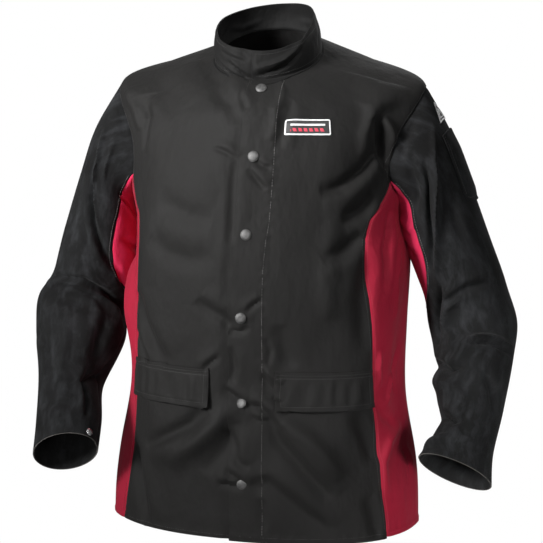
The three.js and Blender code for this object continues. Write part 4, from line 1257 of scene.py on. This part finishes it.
def seam_stitches():
    lines = {"black": [], "pale": [], "red": []}
    rows = np.linspace(0.12, NECK_ROW - 0.15, 420)
    lines["pale"].append(on_body(turn_at(PLACKET_INSIDE - 0.5, rows), rows, 0.3))
    body_rows, around = panel_rows()
    for side in (1, -1):
        for behind in (False, True):
            edge = panel_edge(body_rows, around, behind)
            low = body_rows < GUSSET_ROW
            inset = (4.5 if behind else -4.5) / BODY_HALF_WIDTH / RAD
            seam = side * (edge[low][4:] + inset)
            lines["black"].append(on_body(seam, body_rows[low][4:], 0.1))
            red = side * (edge[low][4:] - inset * 1.1)
            lines["red"].append(on_body(red, body_rows[low][4:], 0.1))
            hole = side * (edge[~low] + 1.6 * inset)
            hole_rows = body_rows[~low]
            arm = hole_rows < TIP_ROW
            lines["black"].append(on_body(hole[arm], hole_rows[arm], 0.1))
    hem_lines = ((-56, 58, "black"), (122, 238, "black"), (61, 118, "red"), (-118, -61, "red"))
    for start, end, key in hem_lines:
        turn = np.linspace(start, end, 300)
        row = np.full(300, ((HEM - 0.5) / (BODY_LENGTH + ARMPIT_LEVEL)) * ARMPIT_ROW)
        lines[key].append(on_body(turn, row, 0.75))
    stitches("stitches_body_black", lines["black"], THREAD)
    stitches("stitches_placket", lines["pale"], PALE_THREAD)
    stitches("stitches_body_red", lines["red"], RED_THREAD)
    collar_lines = []
    for share in (0.9, 0.12):
        turn = np.linspace(COLLAR_START + 3, COLLAR_START + 330, 400)
        point = collar_surface(turn, np.full(400, share))
        normal = np.stack([np.sin(turn * RAD), -np.cos(turn * RAD), 0 * turn], -1)
        collar_lines.append((point + normal * 0.15, normal))
    stitches("stitches_collar", collar_lines, THREAD)
    for side in (1, -1):
        pieces = []
        at = np.linspace(0.25, GUSSET_END, 200)
        for edge in (1, -1):
            around = gusset_middle(at) + edge * (gusset_half(at) + 4.5)
            pieces.append(on_sleeve(side, around, at))
        stitches(f"stitches_sleeve_{NAMES[side]}", pieces, PALE_THREAD)


front_panel(1)
front_panel(-1)
back_panel()
for side in (1, -1):
    side_panel(side)
    sleeve(side)
    arm_gusset(side)
    flap(side)
collar()
front_snaps()
chest_badge()
sleeve_pocket()
arm_badge()
cuff_snap()
seam_stitches()


# Studio: a pale floor, soft lights and the photograph's camera, in metres.
FLOOR_RADIUS, FLOOR_LEVEL, FLOOR_CORNERS = 1.3, -1.25, 64


def studio():
    """A pale round floor. Its own glow is seen by the camera only and lights nothing."""
    turns = np.linspace(0, 2 * np.pi, FLOOR_CORNERS, endpoint=False)
    mesh = bpy.data.meshes.new("studio_floor")
    ring = [(FLOOR_RADIUS * float(np.cos(t)), FLOOR_RADIUS * float(np.sin(t)), FLOOR_LEVEL) for t in turns]
    mesh.from_pydata(ring, [], [tuple(range(FLOOR_CORNERS))])
    floor = bpy.data.objects.new("studio_floor", mesh)
    frame_collection.objects.link(floor)
    material, tree, place, _ = new_material("studio_white")
    tone = mix(tree, noise(tree, place, 3.0), grey(0.8), grey(0.85))
    seen = tree.nodes.new("ShaderNodeLightPath").outputs["Is Camera Ray"]
    finish_material(material, tone, 0.9, Emission_Color=(1, 1, 1, 1))
    shader = next(n for n in tree.nodes if n.type == "BSDF_PRINCIPLED")
    tree.links.new(ramp(tree, seen, 0, 1, 0.0, 0.75), shader.inputs["Emission Strength"])
    mesh.materials.append(material)


# Soft lights: name, place, aim, size in metres, power in watts and spread in degrees.
LIGHTS = [
    ("key", (-1.8, -2.3, 0.8), (-0.05, 0, 0.02), 0.9, 12.5, 40),
    ("fill", (1.2, -3.0, 0.6), (0, 0, -0.1), 1.2, 0.9, 80),
    ("side", (1.6, -2.05, -0.35), (0.40, 0, -0.72), 0.6, 1.0, 16),
    ("right", (2.6, -1.7, 0.6), (0.46, -0.05, -0.28), 0.8, 0.5, 14),
    ("top", (1.3, -0.5, 2.0), (0, 0, 0.02), 0.4, 0.25, 12),
    ("low", (-0.5, -2.4, -1.1), (-0.38, -0.2, -0.6), 0.5, 0.35, 24),
    ("back", (0.4, 2.2, 0.9), (0, 0, -0.35), 1.2, 4, 90),
]


def light(name, place, aim, size, power, spread):
    lamp = bpy.data.lights.new(name, "AREA")
    lamp.shape, lamp.size, lamp.size_y = "RECTANGLE", size, size
    lamp.energy, lamp.spread = power, spread * RAD
    obj = bpy.data.objects.new(name, lamp)
    frame_collection.objects.link(obj)
    obj.location = place
    obj.rotation_euler = (Vector(aim) - Vector(place)).to_track_quat("-Z", "Y").to_euler()


# The photograph's camera: the picture's side, its focal length and its middle in pixels, then
# the distance and height in metres and the turn and pitch in degrees.
PICTURE, FOCAL_LENGTH, PICTURE_MIDDLE = 543, 1987, 268
CAMERA_DISTANCE, CAMERA_HEIGHT, CAMERA_TURN, CAMERA_PITCH = 3, 0.12, 15, 9.07


def camera():
    lens = bpy.data.cameras.new("photo_camera")
    obj = bpy.data.objects.new("photo_camera", lens)
    frame_collection.objects.link(obj)
    lens.sensor_width, lens.lens = 36, FOCAL_LENGTH / PICTURE * 36
    lens.shift_x = (PICTURE / 2 - PICTURE_MIDDLE) / PICTURE
    lens.clip_end = 100
    turn = CAMERA_TURN * RAD
    obj.location = (CAMERA_DISTANCE * np.sin(turn), -CAMERA_DISTANCE * np.cos(turn), CAMERA_HEIGHT)
    obj.rotation_euler = ((90 - CAMERA_PITCH) * RAD, 0, turn)
    bpy.context.scene.camera = obj


def white_surroundings(strength):
    """White behind the jacket, giving only a little light of its own."""
    world = bpy.data.worlds.new("studio_air")
    world.use_nodes = True
    tree = world.node_tree
    seen = tree.nodes.new("ShaderNodeLightPath").outputs["Is Camera Ray"]
    background = tree.nodes["Background"]
    background.inputs[0].default_value = (1, 1, 1, 1)
    tree.links.new(ramp(tree, seen, 0, 1, strength, 1.0), background.inputs[1])
    bpy.context.scene.world = world
    bpy.context.scene.view_settings.view_transform = "Standard"


studio()
white_surroundings(0.1)
for row in LIGHTS:
    light(*row)
camera()
